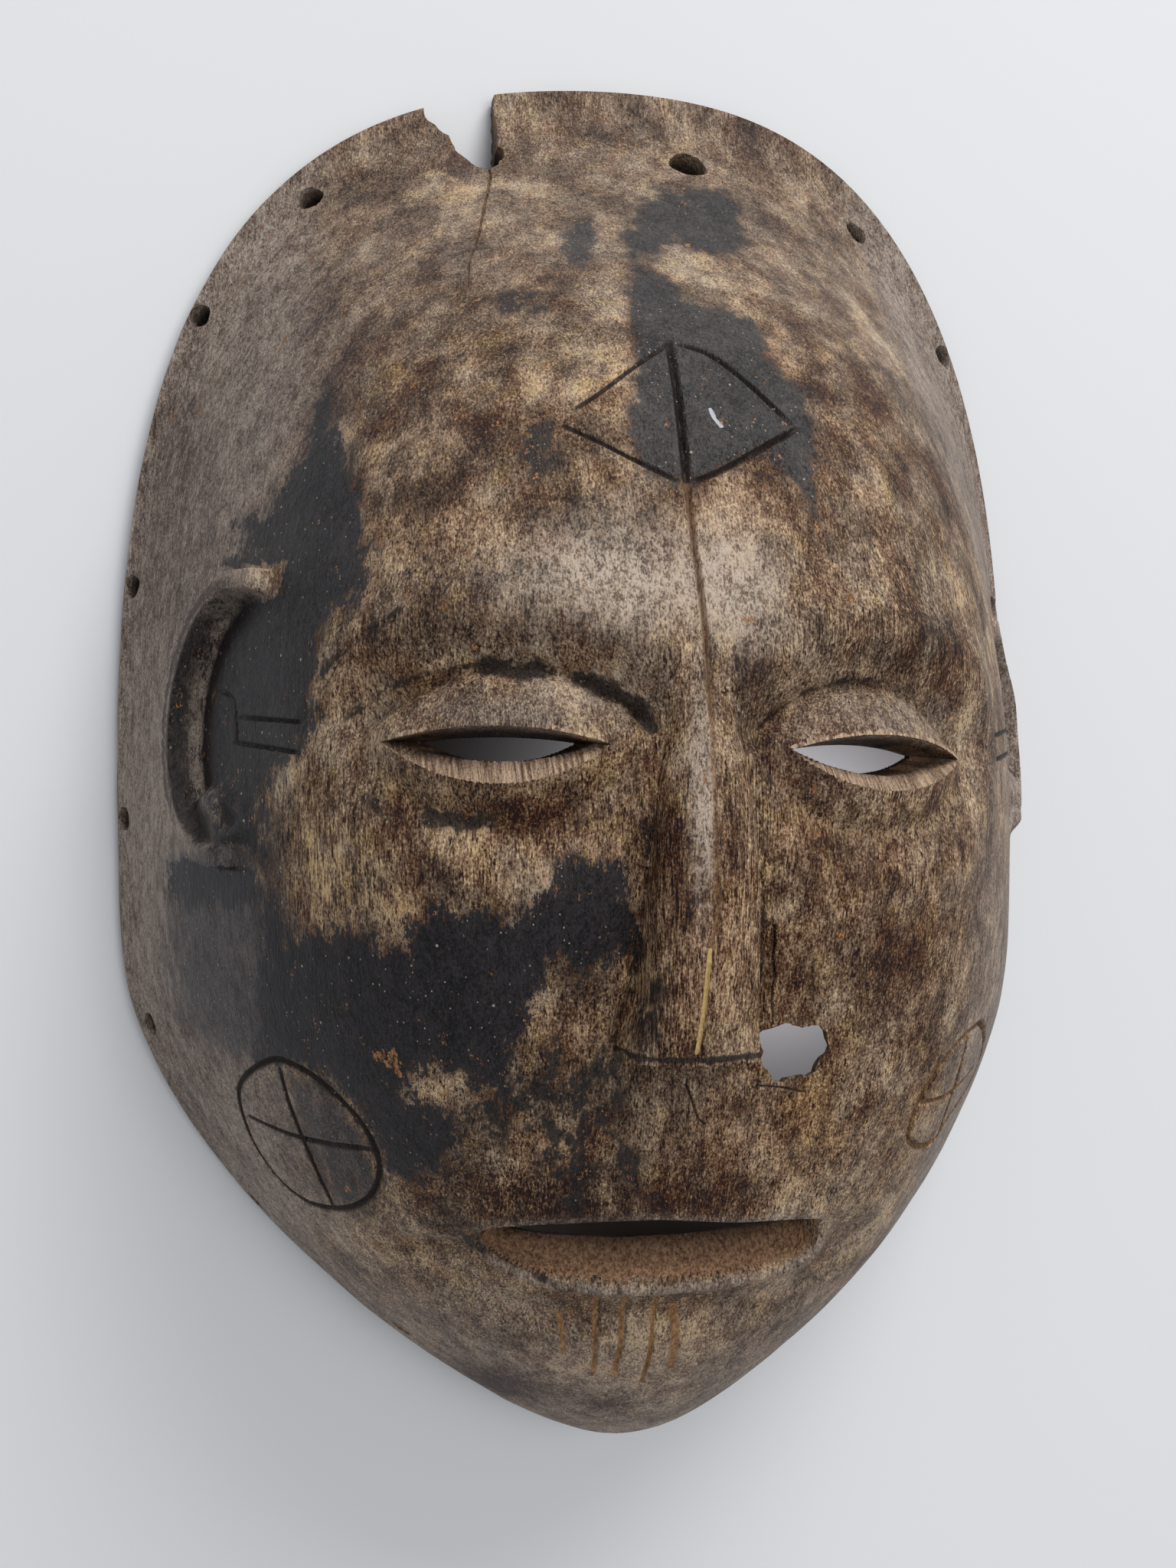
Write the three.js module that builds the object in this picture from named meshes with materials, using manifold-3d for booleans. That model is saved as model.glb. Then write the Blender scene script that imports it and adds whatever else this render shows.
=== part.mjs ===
// A carved wooden face mask lying on its back: the rim is flat on z = 0, the face looks up (+Z), the forehead is toward +Y.
// All lengths in millimetres. One piece of wood, so one solid.
import * as THREE from "three";
import { mergeVertices } from "three/addons/utils/BufferGeometryUtils.js";
import Module from "manifold-3d";

// ---- outline of the rim
const HALF_LENGTH = 125; // forehead edge to chin edge is twice this
const HALF_WIDTH = 84; // at the widest level
const WIDEST_Y = -34; // level of the greatest width, below the eyes
const TOP_SQUARENESS = [3.2, 2.75]; // exponents of the squarish upper outline
const CHIN_POINT = [1.62, 1.27]; // exponents of the pointed lower outline
const LEAN = [-2.16, 2.39]; // slow sideways drift of the hand-cut outline
const TOP_SKEW = 0.045; // the right shoulder of the top edge stands higher than the left
// ---- front of the bowl
const CREST = [55.7, 67.1, 78.0, 88.2, 89.5, 87.7, 82.4]; // height of the crest line every 40 mm from chin to top
const CREST_STEP = 40;
const FULLNESS = 3.78; // how long the front stays full before it turns down to the rim
const FALL = { top: 1.9, side: 1.27, chin: 0.61 }; // over 1 flares at the rim, under 1 drops steeply
const RIM_BAND = 4; // upright outer edge of the rim
const RIM_WIDTH = 5.5; // flat back edge
const FRONT_WALL = 6.5; // wood at the front
// ---- eyes: corner to corner line, height of the almond above and below it
const EYES = [
  { x: -27.8, y: 7.7, half: 21, up: 9.4, low: 14.4, turn: 0 },
  { x: 28.4, y: 5.2, half: 20.2, up: 9.8, low: 12.6, turn: -0.06 },
];
const CREASE_UP = 4.0,
  CREASE_LOW = 2.2,
  LID_SPAN = 9.5,
  BROW_SWELL = 1.2;
// the slits cut through them; at the back they are shorter, by inHalf, and shifted along by inShift
const SLITS = [
  { x: -28.8, y: 5.7, half: 15.8, up: 2.5, low: 5.6, turn: 0, inHalf: 10.8, inShift: 1.6, inUp: 0.8, inLow: 2.9 },
  { x: 29.2, y: 4.3, half: 15.9, up: 3.0, low: 5.2, turn: -0.05, inHalf: 10.6, inShift: -3.4, inUp: 1.2, inLow: 3.1 },
];
// ---- mouth: blunter at its right end, cut back below to a narrow slot
const MOUTH = { x: -0.6, y: -69.3, half: 27, up: 3.2, low: 8.5, inHalf: 24.5, inUp: 2.6, inLow: 2.4 };
const LIP_RIDGE = 0.8;
// ---- nose: stations from bridge to tip (y, width at the face to the left and right of the ridge, half width of the ridge, height of flank edge, of ridge)
const NOSE = [
  { y: 14, left: 4.2, right: 4.6, ridge: 1.2, edge: -0.6, top: 0.6 },
  { y: 8, left: 5.2, right: 6.0, ridge: 1.6, edge: 0.6, top: 2.6 },
  { y: -2, left: 6.4, right: 7.6, ridge: 2.0, edge: 2.2, top: 5.0 },
  { y: -16, left: 7.4, right: 9.4, ridge: 2.8, edge: 4.2, top: 7.4 },
  { y: -30, left: 7.9, right: 10.2, ridge: 4.2, edge: 6.2, top: 9.0 },
  { y: -37.8, left: 10.4, right: 10.8, ridge: 6.0, edge: 7.4, top: 9.2 },
];
// ---- ears: a raised C on each side wall, open to the front: a half oval and two straight arms
// the right one is a little smaller, flatter and set further back
const EAR_LEFT = { y: 8.6, half: 21.3, bend: 45.0, back: 14.2, tipUp: 51.0, tipLow: 49.0, ridge: 1.8, rise: 3.3, lobe: 1.5 };
const EAR_RIGHT = { ...EAR_LEFT, y: 8.7, half: 16.6, bend: 41.0, back: 12.6, tipUp: 48.0, tipLow: 45.0, rise: 2.3 };
// ---- cord holes, along the wall just above the rim: level y, radius; the top pair is drilled more from the front
const TOP_HOLES = { y: 110.6, left: { x: -19.6, r: 2.9 }, right: { x: 16.8, r: 3.5 }, lean: 0.35 };
const CORD_HOLES = [
  { y: 101.5, r: 2.4, high: 8 },
  { y: 80, r: 2.1, high: 4.8 },
  { y: 32, r: 2.1, high: 5.2 },
  { y: -9, r: 2.1, high: 5.4 },
  { y: -45, r: 2.1, high: 7.6 },
  { y: -77.5, r: 2.1, high: 7 },
  { y: -97.5, r: 2.1, high: 21 },
];
// ---- losses
const NOTCH = { left: -30.6, right: -17.6, foot: 106.4, cornerX: -20.4 };
const BREAK = { x: 16.9, y: -39.6, rx: 5.1, ry: 4.2 };

// height of the crest line, a smooth curve through CREST
function crest(y) {
  const n = CREST.length;
  const t = Math.min(Math.max((y + 120) / CREST_STEP, 0), n - 1 - 1e-9);
  const i = Math.floor(t),
    f = t - i;
  const k = (j) =>
    j < 0 ? 2 * CREST[0] - CREST[1] : j >= n ? 2 * CREST[n - 1] - CREST[n - 2] : CREST[j];
  const [a, b, c, d] = [k(i - 1), k(i), k(i + 1), k(i + 2)];
  return 0.5 * (2 * b + (c - a) * f + (2 * a - 5 * b + 4 * c - d) * f * f + (3 * b - a - 3 * c + d) * f ** 3);
}
function halfWidth(y) {
  const d = y - WIDEST_Y;
  let t = d > 0 ? d / (HALF_LENGTH - WIDEST_Y) : -d / (HALF_LENGTH + WIDEST_Y);
  t = Math.min(Math.max(t, 1e-9), 1 - 1e-12);
  const [p, q] = d > 0 ? TOP_SQUARENESS : CHIN_POINT;
  return HALF_WIDTH * Math.pow(1 - Math.pow(t, p), 1 / q);
}
// distance from the widest level's middle to the outline, by direction
const SPOKES = [];
for (let i = -160; i <= 160; i++) {
  const s = Math.sin((i / 160) * Math.PI * 0.5);
  const y = WIDEST_Y + (i > 0 ? HALF_LENGTH - WIDEST_Y : HALF_LENGTH + WIDEST_Y) * s;
  const x = halfWidth(y);
  SPOKES.push([Math.atan2(y - WIDEST_Y, x), Math.hypot(x, y - WIDEST_Y)]);
}
function cutOutline(t) {
  let lo = 0,
    hi = SPOKES.length - 1;
  while (hi - lo > 1) {
    const m = (lo + hi) >> 1;
    if (SPOKES[m][0] > t) hi = m;
    else lo = m;
  }
  const [a, ra] = SPOKES[lo],
    [b, rb] = SPOKES[hi];
  return ra + ((rb - ra) * (t - a)) / (b - a || 1);
}
// every half degree from chin to top, with the corners rounded over ROUNDING degrees
const ROUNDING = 5;
const ROUNDED = Array.from({ length: 361 }, (_, i) => {
  let sum = 0,
    weight = 0;
  for (let k = -32; k <= 32; k++) {
    let j = i + k;
    if (j < 0) j = -j;
    if (j > 360) j = 720 - j;
    const w = Math.exp(-0.5 * Math.pow((k * 0.5) / ROUNDING, 2));
    sum += w * cutOutline(((j * 0.5 - 90) * Math.PI) / 180);
    weight += w;
  }
  return sum / weight;
});
function outline(theta) {
  const t = (Math.atan2(Math.sin(theta), Math.abs(Math.cos(theta))) * 180) / Math.PI;
  const q = Math.min(Math.max((t + 90) * 2, 0), 360 - 1e-9);
  const i = Math.floor(q);
  return ROUNDED[i] + (ROUNDED[i + 1] - ROUNDED[i]) * (q - i);
}
function fall(theta) {
  const s = Math.sin(theta);
  // blended through the reciprocal, so the side value holds over most of the length
  const inv = 1 / FALL.side + (s > 0 ? 1 / FALL.top - 1 / FALL.side : 1 / FALL.chin - 1 / FALL.side) * s * s;
  return 1 / inv;
}
// u, v in -1..1 over the whole front, to spoke position and direction
function spoke(u, v) {
  const X = u * Math.sqrt(1 - (v * v) / 2),
    Y = v * Math.sqrt(1 - (u * u) / 2);
  const r = Math.min(Math.hypot(X, Y), 1);
  return [0.5 * r + 0.5 * Math.sin((r * Math.PI) / 2), Math.atan2(Y, X)];
}
function drift(x, y) {
  const k = y / HALF_LENGTH;
  return [x + LEAN[0] * k + LEAN[1] * k * k, y + TOP_SKEW * x * Math.pow(Math.max(k, 0), 4)];
}
function frontBase(u, v) {
  const [rho, th] = spoke(u, v);
  const R = outline(th);
  const x0 = R * rho * Math.cos(th),
    y0 = WIDEST_Y + R * rho * Math.sin(th);
  const z = RIM_BAND + (crest(y0) - RIM_BAND) * Math.pow(Math.max(1 - Math.pow(rho, FULLNESS), 0), fall(th));
  const [x, y] = drift(x0, y0);
  return new THREE.Vector3(x, y, z);
}
function backBase(u, v) {
  const [rho, th] = spoke(u, v);
  const R = outline(th) - RIM_WIDTH * (1 + 0.25 * Math.max(-Math.sin(th), 0));
  const x0 = R * rho * Math.cos(th),
    y0 = WIDEST_Y + R * rho * Math.sin(th);
  const z = (crest(y0) - FRONT_WALL) * Math.pow(Math.max(1 - Math.pow(rho, FULLNESS), 0), fall(th));
  const [x, y] = drift(x0, y0);
  return new THREE.Vector3(x, y, z);
}
// height of the front over a point x, y
function frontHeight(px, py) {
  let x = px,
    y = py;
  for (let i = 0; i < 4; i++) {
    const [dx, dy] = drift(x, y);
    x += px - dx;
    y += py - dy;
  }
  const th = Math.atan2(y - WIDEST_Y, x);
  const rho = Math.min(Math.hypot(x, y - WIDEST_Y) / outline(th), 1);
  return RIM_BAND + (crest(y) - RIM_BAND) * Math.pow(Math.max(1 - Math.pow(rho, FULLNESS), 0), fall(th));
}
function frontNormal(x, y) {
  const e = 0.4;
  return new THREE.Vector3(
    frontHeight(x - e, y) - frontHeight(x + e, y),
    frontHeight(x, y - e) - frontHeight(x, y + e),
    2 * e,
  ).normalize();
}

// signed distance to a lens made of two arcs: [distance, to the upper arc, to the lower arc, along, across]
function lens(L, x, y) {
  const c = Math.cos(L.turn),
    s = Math.sin(L.turn);
  const a = (x - L.x) * c + (y - L.y) * s,
    b = -(x - L.x) * s + (y - L.y) * c;
  const ru = (L.half * L.half + L.up * L.up) / (2 * L.up),
    rl = (L.half * L.half + L.low * L.low) / (2 * L.low);
  const du = Math.hypot(a, b + ru - L.up) - ru,
    dl = Math.hypot(a, b - rl + L.low) - rl;
  return [Math.max(du, dl), du, dl, a, b];
}
const smooth = (t) => {
  t = Math.min(Math.max(t, 0), 1);
  return t * t * (3 - 2 * t);
};
// the mouth's edge above (sign 1) and below (sign -1) its middle line; t runs from -1 at the left end to 1 at the right
function mouthEdge(t, sign) {
  const k = Math.abs(t);
  if (sign > 0) return MOUTH.up * Math.pow(1 - k * k, 0.4) * (1 - 0.36 * smooth((t + 0.1) / 0.6));
  return (MOUTH.low - 0.6 * t) * (t < 0 ? Math.pow(1 - Math.pow(k, 2.6), 0.62) : Math.pow(1 - Math.pow(k, 4), 0.2));
}
const MOUTH_RING = [1, -1].flatMap((sign) =>
  Array.from({ length: 16 }, (_, i) => {
    const t = -sign * Math.cos((Math.PI * i) / 16);
    return [MOUTH.x + MOUTH.half * t, MOUTH.y + sign * mouthEdge(t, sign)];
  }),
);
// distance to the mouth's edge, negative inside, and the height over its middle line
function mouthField(x, y) {
  let best = Infinity,
    odd = false;
  MOUTH_RING.forEach(([ax, ay], i) => {
    const [bx, by] = MOUTH_RING[(i + 1) % MOUTH_RING.length];
    const dx = bx - ax,
      dy = by - ay;
    const t = Math.min(Math.max(((x - ax) * dx + (y - ay) * dy) / (dx * dx + dy * dy), 0), 1);
    best = Math.min(best, Math.hypot(x - ax - t * dx, y - ay - t * dy));
    if (ay > y !== by > y && x < ax + ((y - ay) / (by - ay)) * dx) odd = !odd;
  });
  return [odd ? -best : best, y - MOUTH.y];
}
// carved relief of the front, along its outward direction
function relief(x, y) {
  let d = 0;
  for (const E of EYES) {
    const [s, du, dl, a, b] = lens(E, x, y);
    if (s > 22) continue;
    const upper = smooth((b + 3) / 6); // 1 on the brow side
    const c = CREASE_LOW + (CREASE_UP - CREASE_LOW) * upper;
    const fade = Math.exp(-Math.pow(Math.max(Math.abs(a) - E.half, 0) / 4, 2));
    if (s > 0) {
      d -= c * Math.exp(-Math.pow(s / (4.2 + 1.5 * upper), 2)) * fade;
      d += BROW_SWELL * upper * Math.exp(-Math.pow((s - 8) / 4.5, 2)) * fade;
    } else d -= c * (1 - smooth(-s / LID_SPAN)) * fade;
  }
  {
    const [s, b] = mouthField(x, y);
    const below = smooth((-b - 1) / 3);
    d += LIP_RIDGE * below * Math.exp(-Math.pow((s - 1) / 3.5, 2));
    d -= 1.6 * below * Math.exp(-Math.pow((s - 7) / 4.5, 2));
  }
  return d;
}
// the back follows the eye hollows, more softly
function backRelief(x, y) {
  let d = 0;
  for (const E of EYES) {
    const [s] = lens(E, x, y);
    d -= 2.6 * (s > 0 ? Math.exp(-Math.pow(s / 8, 2)) : 1);
  }
  d -= 1.5 * Math.exp(-Math.pow((y + 76) / 10, 2) - Math.pow(x / 30, 2));
  return d;
}

// ---- a skin over u, v, refined where it needs to be
function skin(nu, nv, place, target) {
  const uv = [],
    pts = [],
    tris = [];
  const put = (u, v) => {
    uv.push([u, v]);
    pts.push(place(u, v));
    return uv.length - 1;
  };
  const id = [];
  for (let j = 0; j <= nv; j++)
    for (let i = 0; i <= nu; i++) id.push(put(-1 + (2 * i) / nu, -1 + (2 * j) / nv));
  for (let j = 0; j < nv; j++)
    for (let i = 0; i < nu; i++) {
      const a = id[j * (nu + 1) + i],
        b = id[j * (nu + 1) + i + 1],
        c = id[(j + 1) * (nu + 1) + i + 1],
        d = id[(j + 1) * (nu + 1) + i];
      // diagonals run away from the corners, so no triangle lies flat along the rim
      if ((i < nu / 2) === (j < nv / 2)) tris.push([a, b, c], [a, c, d]);
      else tris.push([a, b, d], [b, c, d]);
    }
  let all = tris;
  for (let pass = 0; pass < 3; pass++) {
    const mids = new Map();
    const key = (a, b) => (a < b ? a + "," + b : b + "," + a);
    const need = (a, b) => {
      const k = key(a, b);
      if (mids.has(k)) return mids.get(k);
      const p = pts[a],
        q = pts[b];
      const m = p.clone().add(q).multiplyScalar(0.5);
      const cut = p.distanceTo(q) > target(m) * 1.45;
      const v = cut ? put((uv[a][0] + uv[b][0]) / 2, (uv[a][1] + uv[b][1]) / 2) : -1;
      mids.set(k, v);
      return v;
    };
    const next = [];
    for (const [a, b, c] of all) {
      const ab = need(a, b),
        bc = need(b, c),
        ca = need(c, a);
      const n = (ab >= 0) + (bc >= 0) + (ca >= 0);
      if (n === 0) next.push([a, b, c]);
      else if (n === 3) next.push([a, ab, ca], [ab, b, bc], [ca, bc, c], [ab, bc, ca]);
      else if (n === 1) {
        if (ab >= 0) next.push([a, ab, c], [ab, b, c]);
        else if (bc >= 0) next.push([b, bc, a], [bc, c, a]);
        else next.push([c, ca, b], [ca, a, b]);
      } else {
        // two edges cut: turn so that the uncut edge is c-a
        let [p, q, r, pq, qr] = ca < 0 ? [a, b, c, ab, bc] : ab < 0 ? [b, c, a, bc, ca] : [c, a, b, ca, ab];
        next.push([pq, q, qr]);
        if (pts[p].distanceTo(pts[qr]) < pts[pq].distanceTo(pts[r])) next.push([p, pq, qr], [p, qr, r]);
        else next.push([p, pq, r], [pq, qr, r]);
      }
    }
    all = next;
  }
  return { uv, pts, tris: all };
}
// the edge loop of a skin, counter-clockwise seen from the front
function edgeLoop(s) {
  const on = (i) => Math.abs(Math.abs(s.uv[i][0]) - 1) < 1e-9 || Math.abs(Math.abs(s.uv[i][1]) - 1) < 1e-9;
  const next = new Map();
  const seen = new Set();
  for (const [a, b, c] of s.tris) for (const [p, q] of [[a, b], [b, c], [c, a]]) seen.add(p + "," + q);
  for (const [a, b, c] of s.tris)
    for (const [p, q] of [[a, b], [b, c], [c, a]]) if (on(p) && on(q) && !seen.has(q + "," + p)) next.set(p, q);
  const first = next.keys().next().value;
  const loop = [first];
  for (let i = next.get(first); i !== first; i = next.get(i)) loop.push(i);
  return loop;
}

// ---- solids
const wasm = await Module();
wasm.setup();
function solid(points, tris) {
  const g = new THREE.BufferGeometry();
  const flat = [];
  for (const t of tris) for (const i of t) flat.push(points[i].x, points[i].y, points[i].z);
  g.setAttribute("position", new THREE.Float32BufferAttribute(flat, 3));
  const m = mergeVertices(g, 1e-4);
  const made = new wasm.Manifold(
    new wasm.Mesh({
      numProp: 3,
      vertProperties: new Float32Array(m.attributes.position.array),
      triVerts: new Uint32Array(m.index.array),
    }),
  );
  if (made.volume() < 0) throw new Error("a piece is inside out");
  return made;
}
// rings of equal length, each inside-to-outside order the same, closed by fans at both ends
function loft(rings) {
  const pts = [],
    tris = [];
  const n = rings[0].length;
  for (const r of rings) pts.push(...r);
  for (let k = 0; k + 1 < rings.length; k++)
    for (let i = 0; i < n; i++) {
      const a = k * n + i,
        b = k * n + ((i + 1) % n),
        c = b + n,
        d = a + n;
      tris.push([a, b, c], [a, c, d]);
    }
  for (const [k, flip] of [
    [0, true],
    [rings.length - 1, false],
  ]) {
    const mid = rings[k].reduce((s, p) => s.add(p), new THREE.Vector3()).multiplyScalar(1 / n);
    const m = pts.push(mid) - 1;
    for (let i = 0; i < n; i++) {
      const a = k * n + i,
        b = k * n + ((i + 1) % n);
      tris.push(flip ? [m, b, a] : [m, a, b]);
    }
  }
  try {
    return solid(pts, tris);
  } catch (e) {
    return solid(
      pts,
      tris.map(([a, b, c]) => [a, c, b]),
    );
  }
}

// shell of the mask
function shell() {
  const place = (u, v) => {
    const p = frontBase(u, v);
    const d = relief(p.x, p.y);
    if (Math.abs(d) > 1e-3) p.addScaledVector(frontNormal(p.x, p.y), d);
    return p;
  };
  const fine = (m) => {
    let t = 9.5;
    for (const E of EYES) {
      const [s] = lens(E, m.x, m.y);
      if (s < 9) t = Math.min(t, s < 4.5 && s > -4 ? 2.9 : 4.4);
    }
    const [s] = mouthField(m.x, m.y);
    if (s < 9) t = Math.min(t, s < 5 ? 3.2 : 4.6);
    return t;
  };
  const front = skin(24, 34, place, fine);
  const back = skin(
    18,
    24,
    (u, v) => {
      const p = backBase(u, v);
      p.z = Math.max(p.z + backRelief(p.x, p.y), 0) * (p.z > 0.01 ? 1 : 0);
      return p;
    },
    () => 13,
  );
  const pts = [...front.pts],
    tris = [...front.tris];
  const off = pts.length;
  pts.push(...back.pts);
  for (const [a, b, c] of back.tris) tris.push([off + a, off + c, off + b]);
  // outer edge down to the floor, then the flat back edge
  const lf = edgeLoop(front),
    lb = edgeLoop(back).map((i) => i + off);
  const foot = lf.map((i) => pts.push(new THREE.Vector3(pts[i].x, pts[i].y, 0)) - 1);
  const n = lf.length;
  for (let i = 0; i < n; i++) {
    const a = lf[i],
      b = lf[(i + 1) % n],
      c = foot[(i + 1) % n],
      d = foot[i];
    tris.push([a, c, b], [a, d, c]);
  }
  for (const i of lb) pts[i].z = 0;
  const ang = (i) => Math.atan2(pts[i].y - WIDEST_Y, pts[i].x);
  const turn = (loop) => {
    let k = 0;
    loop.forEach((v, i) => {
      if (ang(v) < ang(loop[k])) k = i;
    });
    return [...loop.slice(k), ...loop.slice(0, k)];
  };
  const A = turn(foot),
    B = turn(lb);
  let i = 0,
    j = 0;
  const unroll = (loop, k) => (k >= loop.length ? ang(loop[k % loop.length]) + 2 * Math.PI : ang(loop[k]));
  while (i < A.length || j < B.length) {
    const a = A[i % A.length],
      b = B[j % B.length];
    if (j >= B.length || (i < A.length && unroll(A, i + 1) <= unroll(B, j + 1))) {
      tris.push([a, b, A[(i + 1) % A.length]]);
      i++;
    } else {
      tris.push([a, b, B[(j + 1) % B.length]]);
      j++;
    }
  }
  return solid(pts, tris);
}

// the edge of a slit, two arcs end to end, anticlockwise from its left end
function slitRing(L, half, up, low, shift) {
  const N = 11;
  const out = [];
  for (const [h, sign] of [
    [up, 1],
    [low, -1],
  ]) {
    const r = (half * half + h * h) / (2 * h);
    const span = Math.asin(Math.min(half / r, 1));
    for (let i = 0; i < N; i++) {
      const t = -span + (2 * span * i) / N;
      const a = shift + r * Math.sin(t) * sign,
        b = sign * (r * Math.cos(t) - (r - h));
      out.push([L.x + a * Math.cos(L.turn) - b * Math.sin(L.turn), L.y + a * Math.sin(L.turn) + b * Math.cos(L.turn)]);
    }
  }
  return out;
}
// an opening that narrows from one ring in the front to another at the back
function opening(outer, inner) {
  const deep = FRONT_WALL + 1.5;
  const rings = [[], [], [], []];
  outer.forEach(([x, y], i) => {
    const [xi, yi] = inner[i];
    const P = new THREE.Vector3(x, y, frontHeight(x, y) + relief(x, y)),
      Q = new THREE.Vector3(xi, yi, frontHeight(xi, yi) - deep);
    rings[3].push(P.clone().addScaledVector(P.clone().sub(Q), 0.55));
    rings[2].push(P);
    rings[1].push(Q);
    rings[0].push(Q.clone().setZ(Q.z - 9));
  });
  return loft(rings);
}
const slit = (S) => opening(slitRing(S, S.half, S.up, S.low, 0), slitRing(S, S.inHalf, S.inUp, S.inLow, S.inShift));
const mouth = () =>
  opening(
    MOUTH_RING,
    MOUTH_RING.map(([x, y]) => [
      MOUTH.x + ((x - MOUTH.x) * MOUTH.inHalf) / MOUTH.half,
      MOUTH.y + (y - MOUTH.y) * (y > MOUTH.y ? MOUTH.inUp / MOUTH.up : MOUTH.inLow / MOUTH.low),
    ]),
  );

// the nose, from bridge to its flat end
function nose() {
  return loft(
    NOSE.map((s) => {
      const z = (x) => frontHeight(x, s.y);
      const p = [
        [-s.left, -5],
        [-s.left, 0],
        [-s.left * 0.86, s.edge],
        [-s.ridge, s.top],
        [s.ridge, s.top],
        [s.right * 0.86, s.edge],
        [s.right, 0],
        [s.right, -5],
      ];
      return p.map(([x, h]) => new THREE.Vector3(x, s.y, z(0) * 0.35 + z(x) * 0.65 + h));
    }),
  );
}

// a raised C on the side wall, a little thicker at its lower end
function ear(side) {
  const EAR = side < 0 ? EAR_LEFT : EAR_RIGHT;
  const N = 18;
  const line = [];
  const arm = (tip, sign) => {
    for (const k of [1, 0.5]) line.push([EAR.y + sign * EAR.half, EAR.bend + (tip - EAR.bend) * k]);
  };
  arm(EAR.tipLow, -1);
  for (let i = 0; i <= N; i++) {
    const t = (i / N - 0.5) * Math.PI;
    line.push([EAR.y + EAR.half * Math.sin(t), EAR.bend - EAR.back * Math.cos(t)]);
  }
  const upper = line.length;
  arm(EAR.tipUp, 1);
  line.splice(upper, 2, line[upper + 1], line[upper]);
  const rings = line.map(([y, z]) => {
    const p = wallPoint(side, y, z);
    return [p, frontNormal(p.x, p.y)];
  });
  const last = rings.length - 1;
  const out = rings.map(([p, n], i) => {
    const a = rings[Math.max(i - 1, 0)][0],
      b = rings[Math.min(i + 1, last)][0];
    const t = b.clone().sub(a).normalize();
    const w = t.clone().cross(n).normalize();
    const thick = EAR.ridge + EAR.lobe * Math.exp(-Math.pow((i - 2.5) / 2.2, 2));
    const q = (across, up) => p.clone().addScaledVector(w, across).addScaledVector(n, up);
    return [
      q(-thick * 1.25, -2),
      q(-thick * 1.05, EAR.rise * 0.6),
      q(-thick * 0.6, EAR.rise),
      q(thick * 0.6, EAR.rise),
      q(thick * 1.05, EAR.rise * 0.6),
      q(thick * 1.25, -2),
    ];
  });
  return loft(out);
}

// a straight hole through the wall along its own normal
function bore(p, n, r, reach, sides = 10) {
  const w = new THREE.Vector3(0, 1, 0).cross(n);
  if (w.length() < 0.2) w.set(1, 0, 0);
  w.normalize();
  const h = n.clone().cross(w).normalize();
  const ring = (s) =>
    Array.from({ length: sides }, (_, i) => {
      const t = (2 * Math.PI * i) / sides;
      return p
        .clone()
        .addScaledVector(n, s)
        .addScaledVector(w, r * Math.cos(t))
        .addScaledVector(h, r * Math.sin(t));
    });
  return loft([ring(-reach), ring(reach)]);
}
function wallPoint(side, y, high) {
  let lo = 0,
    hi = 90;
  for (let k = 0; k < 50; k++) {
    const m = (lo + hi) / 2;
    if (frontHeight(side * m, y) > high) lo = m;
    else hi = m;
  }
  return new THREE.Vector3(side * lo, y, high);
}
// an upright prism over an outline in x, y
function prism(outlinePts, z0, z1) {
  const shape = outlinePts.map(([x, y]) => new THREE.Vector2(x, y));
  if (THREE.ShapeUtils.isClockWise(shape)) shape.reverse();
  const caps = THREE.ShapeUtils.triangulateShape(shape, []);
  const n = shape.length;
  const pts = [...shape.map((p) => new THREE.Vector3(p.x, p.y, z0)), ...shape.map((p) => new THREE.Vector3(p.x, p.y, z1))];
  const tris = [];
  for (const [a, b, c] of caps) tris.push([a, c, b], [a + n, b + n, c + n]);
  for (let i = 0; i < n; i++) {
    const j = (i + 1) % n;
    tris.push([i, j, j + n], [i, j + n, i + n]);
  }
  return solid(pts, tris);
}

let body = shell().add(nose()).add(ear(-1)).add(ear(1));
for (const S of SLITS) body = body.subtract(slit(S));
body = body.subtract(mouth());
for (const H of CORD_HOLES)
  for (const side of [-1, 1]) {
    let p;
    if (H.y > 100) {
      const x = side * 51;
      p = new THREE.Vector3(x, H.y, frontHeight(x, H.y));
    } else p = wallPoint(side, H.y, H.high);
    body = body.subtract(bore(p, frontNormal(p.x, p.y), H.r, 14));
  }
for (const H of [TOP_HOLES.left, TOP_HOLES.right]) {
  const p = new THREE.Vector3(H.x, TOP_HOLES.y, frontHeight(H.x, TOP_HOLES.y));
  const n = frontNormal(p.x, p.y).add(new THREE.Vector3(0, 0, TOP_HOLES.lean)).normalize();
  body = body.subtract(bore(p, n, H.r, 14));
}
// broken-out notch in the top edge, through the left cord hole
body = body.subtract(
  prism(
    [
      [NOTCH.left - 1.2, HALF_LENGTH + 6],
      [NOTCH.left, 118.3],
      [NOTCH.left + 3.4, 115.2],
      [NOTCH.left + 6.2, 110.6],
      [NOTCH.cornerX - 2.6, 107.6],
      [NOTCH.cornerX, NOTCH.foot],
      [NOTCH.right - 0.6, 108.2],
      [NOTCH.right, 113.5],
      [NOTCH.right, HALF_LENGTH + 6],
    ],
    -2,
    40,
  ),
);
// ragged hole beside the nose
body = body.subtract(
  prism(
    Array.from({ length: 16 }, (_, i) => {
      const t = (2 * Math.PI * i) / 16;
      const rag = 1 + 0.09 * Math.sin(3 * t + 0.7) + 0.07 * Math.sin(7 * t + 2);
      const c = Math.cos(t),
        s = Math.sin(t);
      const q = Math.pow(Math.pow(Math.abs(c), 3) + Math.pow(Math.abs(s), 3), -1 / 3);
      return [BREAK.x + BREAK.rx * q * c * rag, BREAK.y + BREAK.ry * q * s * rag];
    }),
    50,
    96,
  ),
);

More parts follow.
